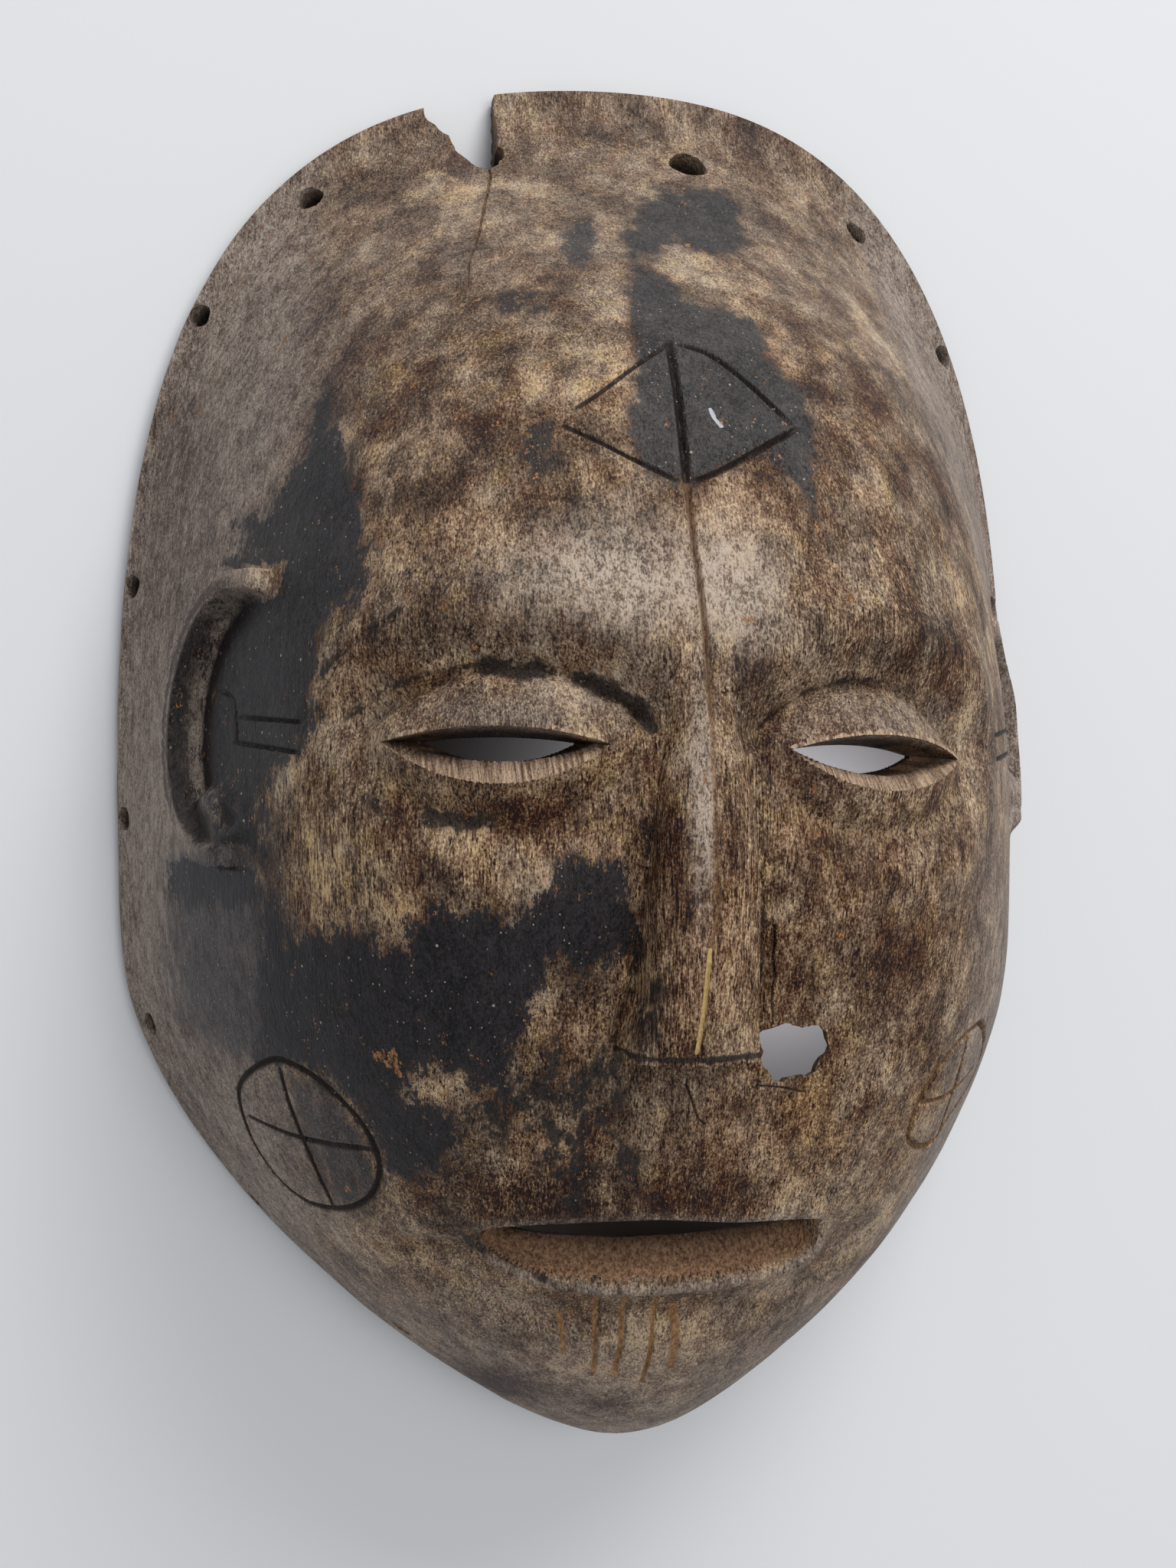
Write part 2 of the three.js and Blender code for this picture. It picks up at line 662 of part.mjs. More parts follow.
// keep the one body, drop splinters
const bodies = body.decompose().sort((a, b) => b.volume() - a.volume());
const m = bodies[0].getMesh();
const geometry = new THREE.BufferGeometry();
const xyz = new Float32Array(m.numVert * 3);
for (let i = 0; i < m.numVert; i++) xyz.set(m.vertProperties.subarray(i * m.numProp, i * m.numProp + 3), i * 3);
geometry.setAttribute("position", new THREE.BufferAttribute(xyz, 3));
geometry.setIndex(new THREE.BufferAttribute(new Uint32Array(m.triVerts), 1));
// the origin is under the middle of the whole piece
geometry.computeBoundingBox();
const box = geometry.boundingBox;
geometry.translate(-(box.min.x + box.max.x) / 2, -(box.min.y + box.max.y) / 2, -box.min.z);
geometry.computeVertexNormals();

const mask = new THREE.Mesh(
  geometry,
  new THREE.MeshStandardMaterial({ color: 0x5a4434, roughness: 0.75, metalness: 0 }),
);
mask.name = "mask";
const group = new THREE.Group();
group.add(mask);
export default group;
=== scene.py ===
import math

import bpy
import numpy as np
from mathutils import Matrix, Vector


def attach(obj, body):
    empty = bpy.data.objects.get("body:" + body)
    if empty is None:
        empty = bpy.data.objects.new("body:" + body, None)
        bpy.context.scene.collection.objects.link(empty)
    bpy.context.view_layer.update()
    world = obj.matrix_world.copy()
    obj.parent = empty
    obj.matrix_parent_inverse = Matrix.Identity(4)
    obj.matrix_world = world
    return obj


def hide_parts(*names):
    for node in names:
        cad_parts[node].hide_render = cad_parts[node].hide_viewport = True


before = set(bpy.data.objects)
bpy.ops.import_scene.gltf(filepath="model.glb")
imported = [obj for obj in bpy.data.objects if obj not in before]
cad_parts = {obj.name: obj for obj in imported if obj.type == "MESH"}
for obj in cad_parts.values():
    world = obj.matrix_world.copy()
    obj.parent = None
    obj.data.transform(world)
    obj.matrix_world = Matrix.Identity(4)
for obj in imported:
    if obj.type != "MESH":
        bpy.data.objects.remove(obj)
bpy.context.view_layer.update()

MM = 0.001
# ------------------------------------------------------------------ named sizes, mm
HALF_LENGTH = 125.0
HALF_WIDTH = 84.0
WIDEST_Y = -34.0
TOP_SQUARENESS = (3.2, 2.75)
CHIN_POINT = (1.62, 1.27)
LEAN = (-2.16, 2.39)
TOP_SKEW = 0.045
CREST = (55.7, 67.1, 78.0, 88.2, 89.5, 87.7, 82.4)
CREST_STEP = 40.0
FULLNESS = 3.78
FALL = dict(top=1.9, side=1.27, chin=0.61)
RIM_BAND = 4.0
RIM_WIDTH = 5.5
FRONT_WALL = 6.5
ROUNDING = 5.0
ORIGIN = (0.3304, 1.0535)  # where the middle of the piece lies in the carving's own lines

EYES = (
    dict(x=-27.8, y=7.7, half=21.0, up=9.4, low=14.4, turn=0.0),
    dict(x=28.4, y=5.2, half=20.2, up=9.8, low=12.6, turn=-0.06),
)
CREASE_UP, CREASE_LOW, LID_SPAN, BROW_SWELL = 4.0, 2.2, 9.5, 1.2
SLITS = (
    dict(x=-28.8, y=5.7, half=15.8, up=2.5, low=5.6, turn=0.0, mid=(14.2, 2.1, 2.6, 0.3), back=(10.8, 0.8, 2.9, 1.6)),
    dict(x=29.2, y=4.3, half=15.9, up=3.0, low=5.2, turn=-0.05, mid=(14.6, 2.6, 3.2, -0.6), back=(10.6, 1.2, 3.1, -3.4)),
)
MOUTH = dict(x=-0.6, y=-69.3, half=27.0, up=3.2, low=8.5, back_half=24.5, back_up=2.6, back_low=2.4)
NOSE_Y = (14.0, 8.0, -2.0, -16.0, -30.0, -37.8)
NOSE_LEFT = (4.2, 5.2, 6.4, 7.4, 7.9, 10.4)
NOSE_RIGHT = (4.6, 6.0, 7.6, 9.4, 10.2, 10.8)
NOSE_RIDGE = (1.2, 1.6, 2.0, 2.8, 4.2, 6.0)
NOSE_EDGE = (-0.6, 0.6, 2.2, 4.2, 6.2, 7.4)
NOSE_TOP = (0.6, 2.6, 5.0, 7.4, 9.0, 9.2)
NOSE_END = -37.8
EAR = dict(y=8.6, half=21.3, bend=45.0, back=14.2, tip_up=51.0, tip_low=49.0, ridge=1.7, rise=3.3)
EAR_RIGHT = dict(EAR, y=8.7, half=16.6, bend=41.0, back=12.6, tip_up=48.0, tip_low=45.0, rise=2.3)
TOP_HOLES = ((-19.6, 2.9), (16.8, 3.5))
CORD_HOLES = ((101.5, 2.4, 8.0), (80.0, 2.1, 4.8), (32.0, 2.1, 5.2), (-9.0, 2.1, 5.4), (-45.0, 2.1, 7.6), (-77.5, 2.1, 7.0), (-97.5, 2.1, 21.0))
BREAK = dict(x=16.9, y=-39.6, rx=5.1, ry=4.2)


# ------------------------------------------------------------------ the carving's lines
def crest(y):
    k = np.array(CREST)
    n = len(k)
    t = np.clip((np.asarray(y, float) + 120.0) / CREST_STEP, 0, n - 1 - 1e-9)
    i = np.floor(t).astype(int)
    f = t - i
    e = np.r_[2 * k[0] - k[1], k, 2 * k[-1] - k[-2]]
    a, b, c, d = e[i], e[i + 1], e[i + 2], e[i + 3]
    return 0.5 * (2 * b + (c - a) * f + (2 * a - 5 * b + 4 * c - d) * f**2 + (3 * b - a - 3 * c + d) * f**3)


def half_width(y):
    d = y - WIDEST_Y
    t = np.where(d > 0, d / (HALF_LENGTH - WIDEST_Y), -d / (HALF_LENGTH + WIDEST_Y))
    t = np.clip(t, 1e-9, 1 - 1e-12)
    up = (1 - t ** TOP_SQUARENESS[0]) ** (1 / TOP_SQUARENESS[1])
    low = (1 - t ** CHIN_POINT[0]) ** (1 / CHIN_POINT[1])
    return HALF_WIDTH * np.where(d > 0, up, low)


def _outline_table():
    s = np.sin(np.arange(-160, 161) / 160 * math.pi / 2)
    y = WIDEST_Y + np.where(s > 0, HALF_LENGTH - WIDEST_Y, HALF_LENGTH + WIDEST_Y) * s
    x = half_width(y)
    th, r = np.arctan2(y - WIDEST_Y, x), np.hypot(x, y - WIDEST_Y)
    deg = np.arange(361) * 0.5 - 90
    cut = np.interp(np.radians(deg), th, r)
    out = np.zeros(361)
    weight = 0.0
    for k in range(-32, 33):
        j = np.abs(np.arange(361) + k)
        j = np.where(j > 360, 720 - j, j)
        w = math.exp(-0.5 * (k * 0.5 / ROUNDING) ** 2)
        out += w * cut[j]
        weight += w
    return deg, out / weight


OUT_DEG, OUT_R = _outline_table()


def outline(theta):
    t = np.degrees(np.arctan2(np.sin(theta), np.abs(np.cos(theta))))
    return np.interp(t, OUT_DEG, OUT_R)


def fall(theta):
    s = np.sin(theta)
    end = np.where(s > 0, 1 / FALL["top"], 1 / FALL["chin"])
    return 1 / (1 / FALL["side"] + (end - 1 / FALL["side"]) * s * s)


def spoke(u, v):
    X = u * np.sqrt(1 - v * v / 2)
    Y = v * np.sqrt(1 - u * u / 2)
    r = np.minimum(np.hypot(X, Y), 1)
    return 0.5 * r + 0.5 * np.sin(r * math.pi / 2), np.arctan2(Y, X)


def drift(x, y):
    k = y / HALF_LENGTH
    return x + LEAN[0] * k + LEAN[1] * k * k, y + TOP_SKEW * x * np.maximum(k, 0) ** 4


def front_base(u, v):
    rho, th = spoke(u, v)
    R = outline(th)
    x0, y0 = R * rho * np.cos(th), WIDEST_Y + R * rho * np.sin(th)
    z = RIM_BAND + (crest(y0) - RIM_BAND) * np.maximum(1 - rho**FULLNESS, 0) ** fall(th)
    x, y = drift(x0, y0)
    return np.stack([x, y, z], -1)


def back_base(u, v):
    rho, th = spoke(u, v)
    R = outline(th) - RIM_WIDTH * (1 + 0.25 * np.maximum(-np.sin(th), 0))
    x0, y0 = R * rho * np.cos(th), WIDEST_Y + R * rho * np.sin(th)
    z = (crest(y0) - FRONT_WALL) * np.maximum(1 - rho**FULLNESS, 0) ** fall(th)
    x, y = drift(x0, y0)
    return np.stack([x, y, z], -1)


def front_height(px, py):
    px, py = np.asarray(px, float), np.asarray(py, float)
    x, y = px.copy(), py.copy()
    for _ in range(4):
        dx, dy = drift(x, y)
        x, y = x + px - dx, y + py - dy
    th = np.arctan2(y - WIDEST_Y, x)
    rho = np.minimum(np.hypot(x, y - WIDEST_Y) / outline(th), 1)
    return RIM_BAND + (crest(y) - RIM_BAND) * np.maximum(1 - rho**FULLNESS, 0) ** fall(th)


def front_normal(x, y):
    e = 0.5
    n = np.stack([front_height(x - e, y) - front_height(x + e, y), front_height(x, y - e) - front_height(x, y + e), np.full(np.shape(x), 2 * e)], -1)
    return n / np.linalg.norm(n, axis=-1)[..., None]


def lens(L, x, y):
    c, s = math.cos(L["turn"]), math.sin(L["turn"])
    a = (x - L["x"]) * c + (y - L["y"]) * s
    b = -(x - L["x"]) * s + (y - L["y"]) * c
    ru = (L["half"] ** 2 + L["up"] ** 2) / (2 * L["up"])
    rl = (L["half"] ** 2 + L["low"] ** 2) / (2 * L["low"])
    du = np.hypot(a, b + ru - L["up"]) - ru
    dl = np.hypot(a, b - rl + L["low"]) - rl
    return np.maximum(du, dl), du, dl, a, b


def smooth(t):
    t = np.clip(t, 0, 1)
    return t * t * (3 - 2 * t)


def inside_distance(px, py, poly):
    """Distance to a closed outline, positive inside."""
    P = np.array(poly, float)
    Q = np.roll(P, -1, 0)
    best = np.full(px.shape, 1e9)
    odd = np.zeros(px.shape, bool)
    for (ax, ay), (bx, by) in zip(P, Q):
        dx, dy = bx - ax, by - ay
        t = np.clip(((px - ax) * dx + (py - ay) * dy) / (dx * dx + dy * dy), 0, 1)
        best = np.minimum(best, np.hypot(px - ax - t * dx, py - ay - t * dy))
        cross = (ay > py) != (by > py)
        odd ^= cross & (px < ax + (py - ay) / np.where(dy == 0, 1e-9, dy) * dx)
    return np.where(odd, best, -best)


def mouth_edge(t, sign):
    """The mouth's edge above (1) and below (-1) its middle line, t from -1 at the left end to 1."""
    k = np.minimum(np.abs(t), 1)
    if sign > 0:
        return MOUTH["up"] * (1 - k * k) ** 0.4 * (1 - 0.36 * smooth((t + 0.1) / 0.6))
    return (MOUTH["low"] - 0.6 * t) * np.where(t < 0, (1 - k**2.6) ** 0.62, (1 - k**4) ** 0.2)


def mouth_ring(n):
    out = []
    for sign in (1, -1):
        t = -sign * np.cos(math.pi * np.arange(n) / n)
        out.append(np.stack([MOUTH["x"] + MOUTH["half"] * t, MOUTH["y"] + sign * mouth_edge(t, sign)], 1))
    return np.vstack(out)


def mouth_field(x, y):
    """Distance to the mouth's edge, negative inside, and the height over its middle line."""
    s = np.full(np.shape(x), 60.0)
    near = (np.abs(x) < 50) & (y > -100) & (y < -40)
    if near.any():
        s[near] = -inside_distance(x[near], y[near], mouth_ring(30))
    return s, y - MOUTH["y"]


# repeatable lattice noise, -1..1
LATTICE = np.random.RandomState(7).rand(3, 32, 32, 32) * 2 - 1


def noise(p, size, seed=0):
    q = np.asarray(p, float) / np.asarray(size, float) + 11.3 * (seed + 1)
    i = np.floor(q).astype(int)
    f = q - i
    f = f * f * (3 - 2 * f)
    g = LATTICE[seed % 3]
    out = 0
    for a in (0, 1):
        for b in (0, 1):
            for c in (0, 1):
                w = (f[..., 0] if a else 1 - f[..., 0]) * (f[..., 1] if b else 1 - f[..., 1]) * (f[..., 2] if c else 1 - f[..., 2])
                out = out + w * g[(i[..., 0] + a) % 32, (i[..., 1] + b) % 32, (i[..., 2] + c) % 32]
    return out


# ------------------------------------------------------------------ incised lines
def run(*pts, bow=0.0, n=10):
    """A hand-cut line through a few points, a little bowed."""
    p = np.array(pts, float)
    out = []
    for a, b in zip(p[:-1], p[1:]):
        t = np.linspace(0, 1, n, endpoint=False)[:, None]
        side = np.array([-(b - a)[1], (b - a)[0]])
        out.append(a + (b - a) * t + side * bow * 4 * t * (1 - t))
    out.append(p[-1:])
    return np.concatenate(out)


def curve(*pts, closed=False, n=5):
    """A smooth hand-cut line through points."""
    p = np.array(pts, float)
    p = np.vstack([p[-1:], p, p[:2]]) if closed else np.vstack([2 * p[0] - p[1], p, 2 * p[-1] - p[-2]])
    out = []
    for a, b, c, d in zip(p, p[1:], p[2:], p[3:]):
        t = np.linspace(0, 1, n, endpoint=False)[:, None]
        out.append(0.5 * (2 * b + (c - a) * t + (2 * a - 5 * b + 4 * c - d) * t**2 + (3 * b - a - 3 * c + d) * t**3))
    out.append(p[-2:-1])
    return np.concatenate(out)


# name, path, half width, depth, kind of line
LINES = [
    ("middle", curve((0.8, 67.2), (0.0, 55.0), (-0.6, 43.8)), 0.8, 0.95, "dark"),
    ("middle_low", curve((-0.6, 44.6), (-0.5, 38.0), (-0.4, 33.0), (0.1, 26.0), (0.6, 17.0), (0.4, 9.0)), 0.6, 0.7, "brown"),
    ("ridge", curve((0.6, 12.0), (0.35, 2.5), (0.5, -4.4), (1.0, -12.0), (1.2, -17.0), (0.6, -22.0)), 0.45, 0.35, "worn"),
    ("ridge_end", run((0.3, -22.8), (0.0, -30.0), (-0.6, -37.6), n=4), 0.45, 0.5, "fresh"),
    ("loz_ul", curve((-15.2, 54.8), (-11.8, 57.2), (-6.2, 61.6), (0.7, 66.7)), 0.5, 0.5, "dark"),
    ("loz_ll", curve((-17.6, 51.7), (-12.9, 49.3), (-7.8, 46.5), (-2.3, 43.7)), 0.5, 0.5, "dark"),
    ("loz_ur", curve((2.4, 66.6), (7.0, 64.9), (11.8, 60.4), (17.4, 54.1)), 0.6, 0.75, "dark"),
    ("loz_lr", curve((0.4, 43.6), (4.7, 45.4), (13.3, 50.3), (18.3, 53.1)), 0.6, 0.75, "dark"),
    ("ring_l", curve((-58.5, -44.2), (-62.1, -48.0), (-63.4, -52.7), (-61.4, -60.4), (-57.4, -66.8), (-53.0, -70.2), (-49.2, -70.2), (-45.7, -68.3), (-43.2, -64.7), (-42.5, -59.8), (-43.8, -55.0), (-46.7, -50.5), (-51.0, -46.4), (-55.2, -44.1), closed=True), 0.7, 0.85, "dark"),
    ("ring_l_v", curve((-57.3, -45.4), (-55.9, -51.0), (-53.7, -57.0), (-51.3, -63.0), (-48.6, -69.2)), 0.6, 0.7, "dark"),
    ("ring_l_h", curve((-61.6, -56.2), (-53.7, -57.2), (-43.8, -56.4)), 0.6, 0.7, "dark"),
    ("ring_r", curve((57.2, -40.8), (52.8, -40.2), (47.9, -41.9), (44.3, -45.3), (41.8, -49.4), (40.7, -53.9), (41.5, -57.5), (44.8, -59.8), (49.0, -60.2), (53.3, -56.5), (59.0, -53.0), (61.4, -47.6), closed=True), 0.8, 1.1, "ring"),
    ("ring_r_v", curve((51.3, -40.8), (51.1, -49.7), (50.5, -59.7)), 0.6, 0.8, "ring"),
    ("ring_r_h", curve((42.2, -50.9), (49.3, -51.2), (58.0, -48.9)), 0.6, 0.8, "ring"),
    ("ear_1", run((-63.7, 9.1), (-54.6, 8.4)), 0.45, 0.55, "dark"),
    ("ear_2", run((-64.5, 5.2), (-55.0, 3.9)), 0.45, 0.55, "dark"),
    ("ear_3", curve((-67.3, 13.4), (-65.2, 12.3), (-64.5, 9.7), (-64.2, 4.9)), 0.4, 0.45, "dark"),
    ("ear_r1", run((64.6, 8.0), (54.6, 7.2)), 0.5, 0.55, "dark"),
    ("ear_r2", run((65.0, 4.2), (55.2, 3.4)), 0.5, 0.55, "dark"),
    ("chin_1", curve((-9.2, -80.1), (-8.2, -87.1), (-7.1, -96.7)), 0.5, 0.6, "chin"),
    ("chin_2", curve((-4.7, -80.1), (-4.1, -87.0), (-3.9, -96.7)), 0.55, 0.65, "chin"),
    ("chin_3", curve((0.3, -80.6), (0.9, -89.5), (1.0, -98.8)), 0.5, 0.6, "chin"),
    ("chin_4", curve((3.4, -82.7), (4.7, -89.0), (5.1, -95.4)), 1.0, 0.35, "chin"),
    ("chin_5", run((-13.9, -84.6), (-12.3, -92.4)), 0.6, 0.2, "chin"),
    ("crack_top", run((-20.1, 107.5), (-20.0, 105.0), (-22.0, 98.2), (-24.6, 89.4), (-27.0, 83.3), (-28.1, 77.4), n=4), 0.2, 0.8, "crack"),
    ("crack_nose", run((12.0, -20.3), (12.3, -23.0), (12.2, -25.3), (12.8, -28.0), (12.6, -30.3), (13.3, -35.4), n=4), 0.22, 0.8, "crack"),
    ("crack_lip", run((0.8, -44.4), (2.1, -47.4), (3.1, -49.9), (4.2, -50.8), n=4), 0.25, 0.5, "crack"),
    ("crack_cheek", run((11.8, -45.0), (15.7, -45.4), (19.3, -46.3), n=4), 0.22, 0.4, "crack"),
    ("crack_brow", run((-41.8, 23.2), (-45.4, 21.4), (-49.0, 18.5), (-50.9, 14.6), (-52.2, 12.7), n=4), 0.22, 0.4, "crack"),
    ("fleck", run((4.8, 55.4), (5.2, 53.8), (6.1, 52.6), n=4), 0.42, 0.1, "fleck"),
    ("scratch_1", run((-16.9, 43.8), (-13.4, 44.9), (-9.8, 46.3), n=3), 0.3, 0.12, "scratch"),
    ("scratch_2", run((-23.8, 40.5), (-19.1, 40.2), (-15.0, 40.3), n=3), 0.3, 0.12, "scratch"),
    ("scratch_3", run((-18.1, 63.6), (-11.4, 64.1), (-4.8, 65.6), n=3), 0.3, 0.12, "scratch"),
]
PATHS = []
for name, path, half, depth, kind in LINES:
    z = front_height(path[:, 0], path[:, 1])
    PATHS.append((name, np.column_stack([path, z]), half, depth, kind))


def path_distance(p, path, reach):
    """Distance from points to a path in space, inf where further than reach; and how far along, 0..1."""
    lo, hi = path.min(0) - reach, path.max(0) + reach
    near = np.nonzero(((p > lo) & (p < hi)).all(-1))[0]
    d = np.full(len(p), np.inf)
    along = np.zeros(len(p))
    if not len(near):
        return d, along
    q = p[near]
    best = np.full(len(q), np.inf)
    pos = np.zeros(len(q))
    for k, (a, b) in enumerate(zip(path[:-1], path[1:])):
        ab = b - a
        t = np.clip(((q - a) @ ab) / (ab @ ab + 1e-12), 0, 1)
        e = np.linalg.norm(q - a - t[:, None] * ab, axis=1)
        closer = e < best
        best = np.where(closer, e, best)
        pos = np.where(closer, (k + t) / (len(path) - 1), pos)
    d[near], along[near] = best, pos
    return d, along


def line_distance(p, name, path, reach):
    """As path_distance, but in plan for the lines that run over the nose."""
    if name.startswith("ridge"):
        p, path = p * (1, 1, 0), path * (1, 1, 0)
    return path_distance(p, path, reach)


# ------------------------------------------------------------------ relief
def along_nose(y, sizes):
    return np.interp(y, np.array(NOSE_Y)[::-1], np.array(sizes)[::-1])


def nose_foot(x, y):
    return np.where(x < 0, along_nose(y, NOSE_LEFT), along_nose(y, NOSE_RIGHT))


def nose_height(x, y):
    foot = nose_foot(x, y)
    ridge, edge, top = along_nose(y, NOSE_RIDGE), along_nose(y, NOSE_EDGE), along_nose(y, NOSE_TOP)
    ax = np.abs(x)
    side = foot * 0.86
    h = np.where(
        ax < ridge,
        top - 0.45 * (ax / ridge) ** 2,
        np.where(
            ax < side,
            top - 0.45 - (top - 0.45 - edge) * (np.maximum(ax - ridge, 0) / np.maximum(side - ridge, 1e-3)) ** 1.3,
            edge * np.clip((foot - ax) / (foot - side), 0, 1) ** 0.7,
        ),
    )
    h = np.where(ax > foot, 0, h)
    fade = smooth((21.0 - y) / 8.0)
    end = np.clip((y - NOSE_END + 0.35) / 0.7, 0, 1)
    gutter = -0.7 * np.exp(-(((ax - foot - 0.3) / 1.1) ** 2)) * smooth((8.0 - y) / 10) * np.clip((y - NOSE_END + 2.0) / 2, 0, 1)
    return h * fade * end + gutter - 0.6 * np.exp(-(((y - NOSE_END + 1.6) / 1.2) ** 2)) * (ax < foot)


def ear_field(p):
    """For points of a side wall: distance to the middle line of the raised C (negative inside it), and q, w along the C's own axes."""
    right = p[:, 0] > 0
    own = lambda key: np.where(right, EAR_RIGHT[key], EAR[key])
    q, w = p[:, 1] - own("y"), p[:, 2] - own("bend")
    a, b = own("half"), own("back")
    f = np.hypot(q / a, w / b)
    g = np.hypot(q / a**2, w / b**2) / np.maximum(f, 1e-6)
    d = np.where(w < 0, (f - 1) / np.maximum(g, 1e-6), np.abs(q) - a)
    return d, q, w


def ear_height(p):
    d, q, w = ear_field(p)
    wall = np.abs(p[:, 0]) > 50
    right = p[:, 0] > 0
    own = lambda key: np.where(right, EAR_RIGHT[key], EAR[key])
    end = np.where(q > 0, own("tip_up"), own("tip_low")) - own("bend")
    tip = smooth((end + 0.8 - w) / 1.6)
    ridge = own("rise") * smooth((EAR["ridge"] + 0.45 - np.abs(d)) / 0.8) * tip
    ridge *= 0.85 + 0.15 * smooth((q + 25) / 20)
    # the right one runs out softly at both ends
    ridge *= np.where(right, smooth((q + 18.8) / 5.0) * (0.35 + 0.65 * smooth((17.0 - q) / 14.0)), 1)
    lobe = np.where(right, 2.0, 2.9) * smooth((1.25 - np.hypot((q + np.where(right, 12.8, 15.6)) / 5.2, (w + 1.0) / 8.5)) * 1.6) * (d < EAR["ridge"] + 0.5)
    pit = -2.4 * np.exp(-(((q + 15.0) / 2.2) ** 2) - ((w - 4.2) / 2.2) ** 2)
    inside = smooth(-(d + EAR["ridge"] - 0.4) / 1.3) * smooth((9.0 - w) / 14.0)
    hollow = -2.0 * inside * (0.3 + 0.7 * smooth((d + 11) / 8))
    return np.where(wall, np.maximum(ridge, lobe) + hollow + pit, 0.0)


def relief(p):
    """Height of the carving over the smooth front, mm, at base points p."""
    x, y = p[:, 0], p[:, 1]
    d = np.zeros(len(p))
    for E in EYES:
        s, du, dl, a, b = lens(E, x, y)
        upper = smooth((b + 3) / 6)
        c = CREASE_LOW + (CREASE_UP - CREASE_LOW) * upper
        fade = np.exp(-((np.maximum(np.abs(a) - E["half"], 0) / 4) ** 2))
        out = -c * np.exp(-((s / (4.2 + 1.5 * upper)) ** 2)) + BROW_SWELL * upper * np.exp(-(((s - 8) / 4.5) ** 2))
        lid = -c * (1 - smooth(-s / LID_SPAN) ** 0.75)
        d += np.where(s > 0, out, lid) * fade
        d -= (0.9 * upper + 0.25) * np.exp(-((s / 0.9) ** 2)) * fade
    s, b = mouth_field(x, y)
    below = smooth((-b - 1) / 3)
    above = smooth((b + 1) / 2)
    d += 1.35 * below * np.exp(-(((s - 0.9) / 1.2) ** 2))
    d -= 1.5 * below * np.exp(-(((s - 7.5) / 4.5) ** 2))
    d -= 0.6 * below * np.exp(-(((s - 2.9) / 0.8) ** 2)) * smooth((-8 - x) / 14)
    d += 0.7 * above * np.exp(-(((s - 0.5) / 3.0) ** 2))
    d -= 0.8 * np.exp(-(((np.abs(x - MOUTH["x"]) - 29.5) / 3.5) ** 2) - ((b + 1) / 5) ** 2)
    near = (np.abs(x) < 18) & (y > -46) & (y < 24)
    d += np.where(near, nose_height(x, y), 0)
    wall = np.abs(x) > 50
    if wall.any():
        d[wall] += ear_height(p[wall])
    # hand-cut unevenness: broad, then adze facets drawn out along the grain
    d += 0.45 * noise(p, (34, 40, 30), 0) + 0.16 * noise(p, (9, 15, 9), 1) + 0.05 * noise(p, (2.6, 6, 2.6), 2)
    for name, path, half, depth, kind in PATHS:
        dist, along = line_distance(p, name, path, half * 2 + 0.2)
        hit = np.isfinite(dist)
        ends = np.minimum(1, 6 * np.minimum(along, 1 - along) + 0.35) if kind != "crack" else 1 - 0.75 * along
        if name in ("ring_l", "ring_r"):
            ends = 1
        cut = np.clip(1 - dist / half, 0, 1) ** (0.8 if kind != "crack" else 0.5)
        lip = 0.05 * np.exp(-(((dist - half - 0.3) / 0.3) ** 2))
        d += np.where(hit, (-depth * cut + lip) * ends, 0)
    return d


def back_relief(p):
    x, y = p[:, 0], p[:, 1]
    d = np.zeros(len(p))
    for E in EYES:
        s = lens(E, x, y)[0]
        d -= 2.6 * np.where(s > 0, np.exp(-((s / 8) ** 2)), 1)
    d -= 1.5 * np.exp(-(((y + 76) / 10) ** 2) - (x / 30) ** 2)
    # thin wood where it broke through beside the nose
    r = np.hypot((x - BREAK["x"]) / 10.0, (y - BREAK["y"]) / 9.0)
    d += 5.0 * np.exp(-(r**4))
    # adze scallops
    d += 0.5 * noise(p, (13, 19, 13), 1) + 0.28 * noise(p, (6, 9, 6), 2)
    return d


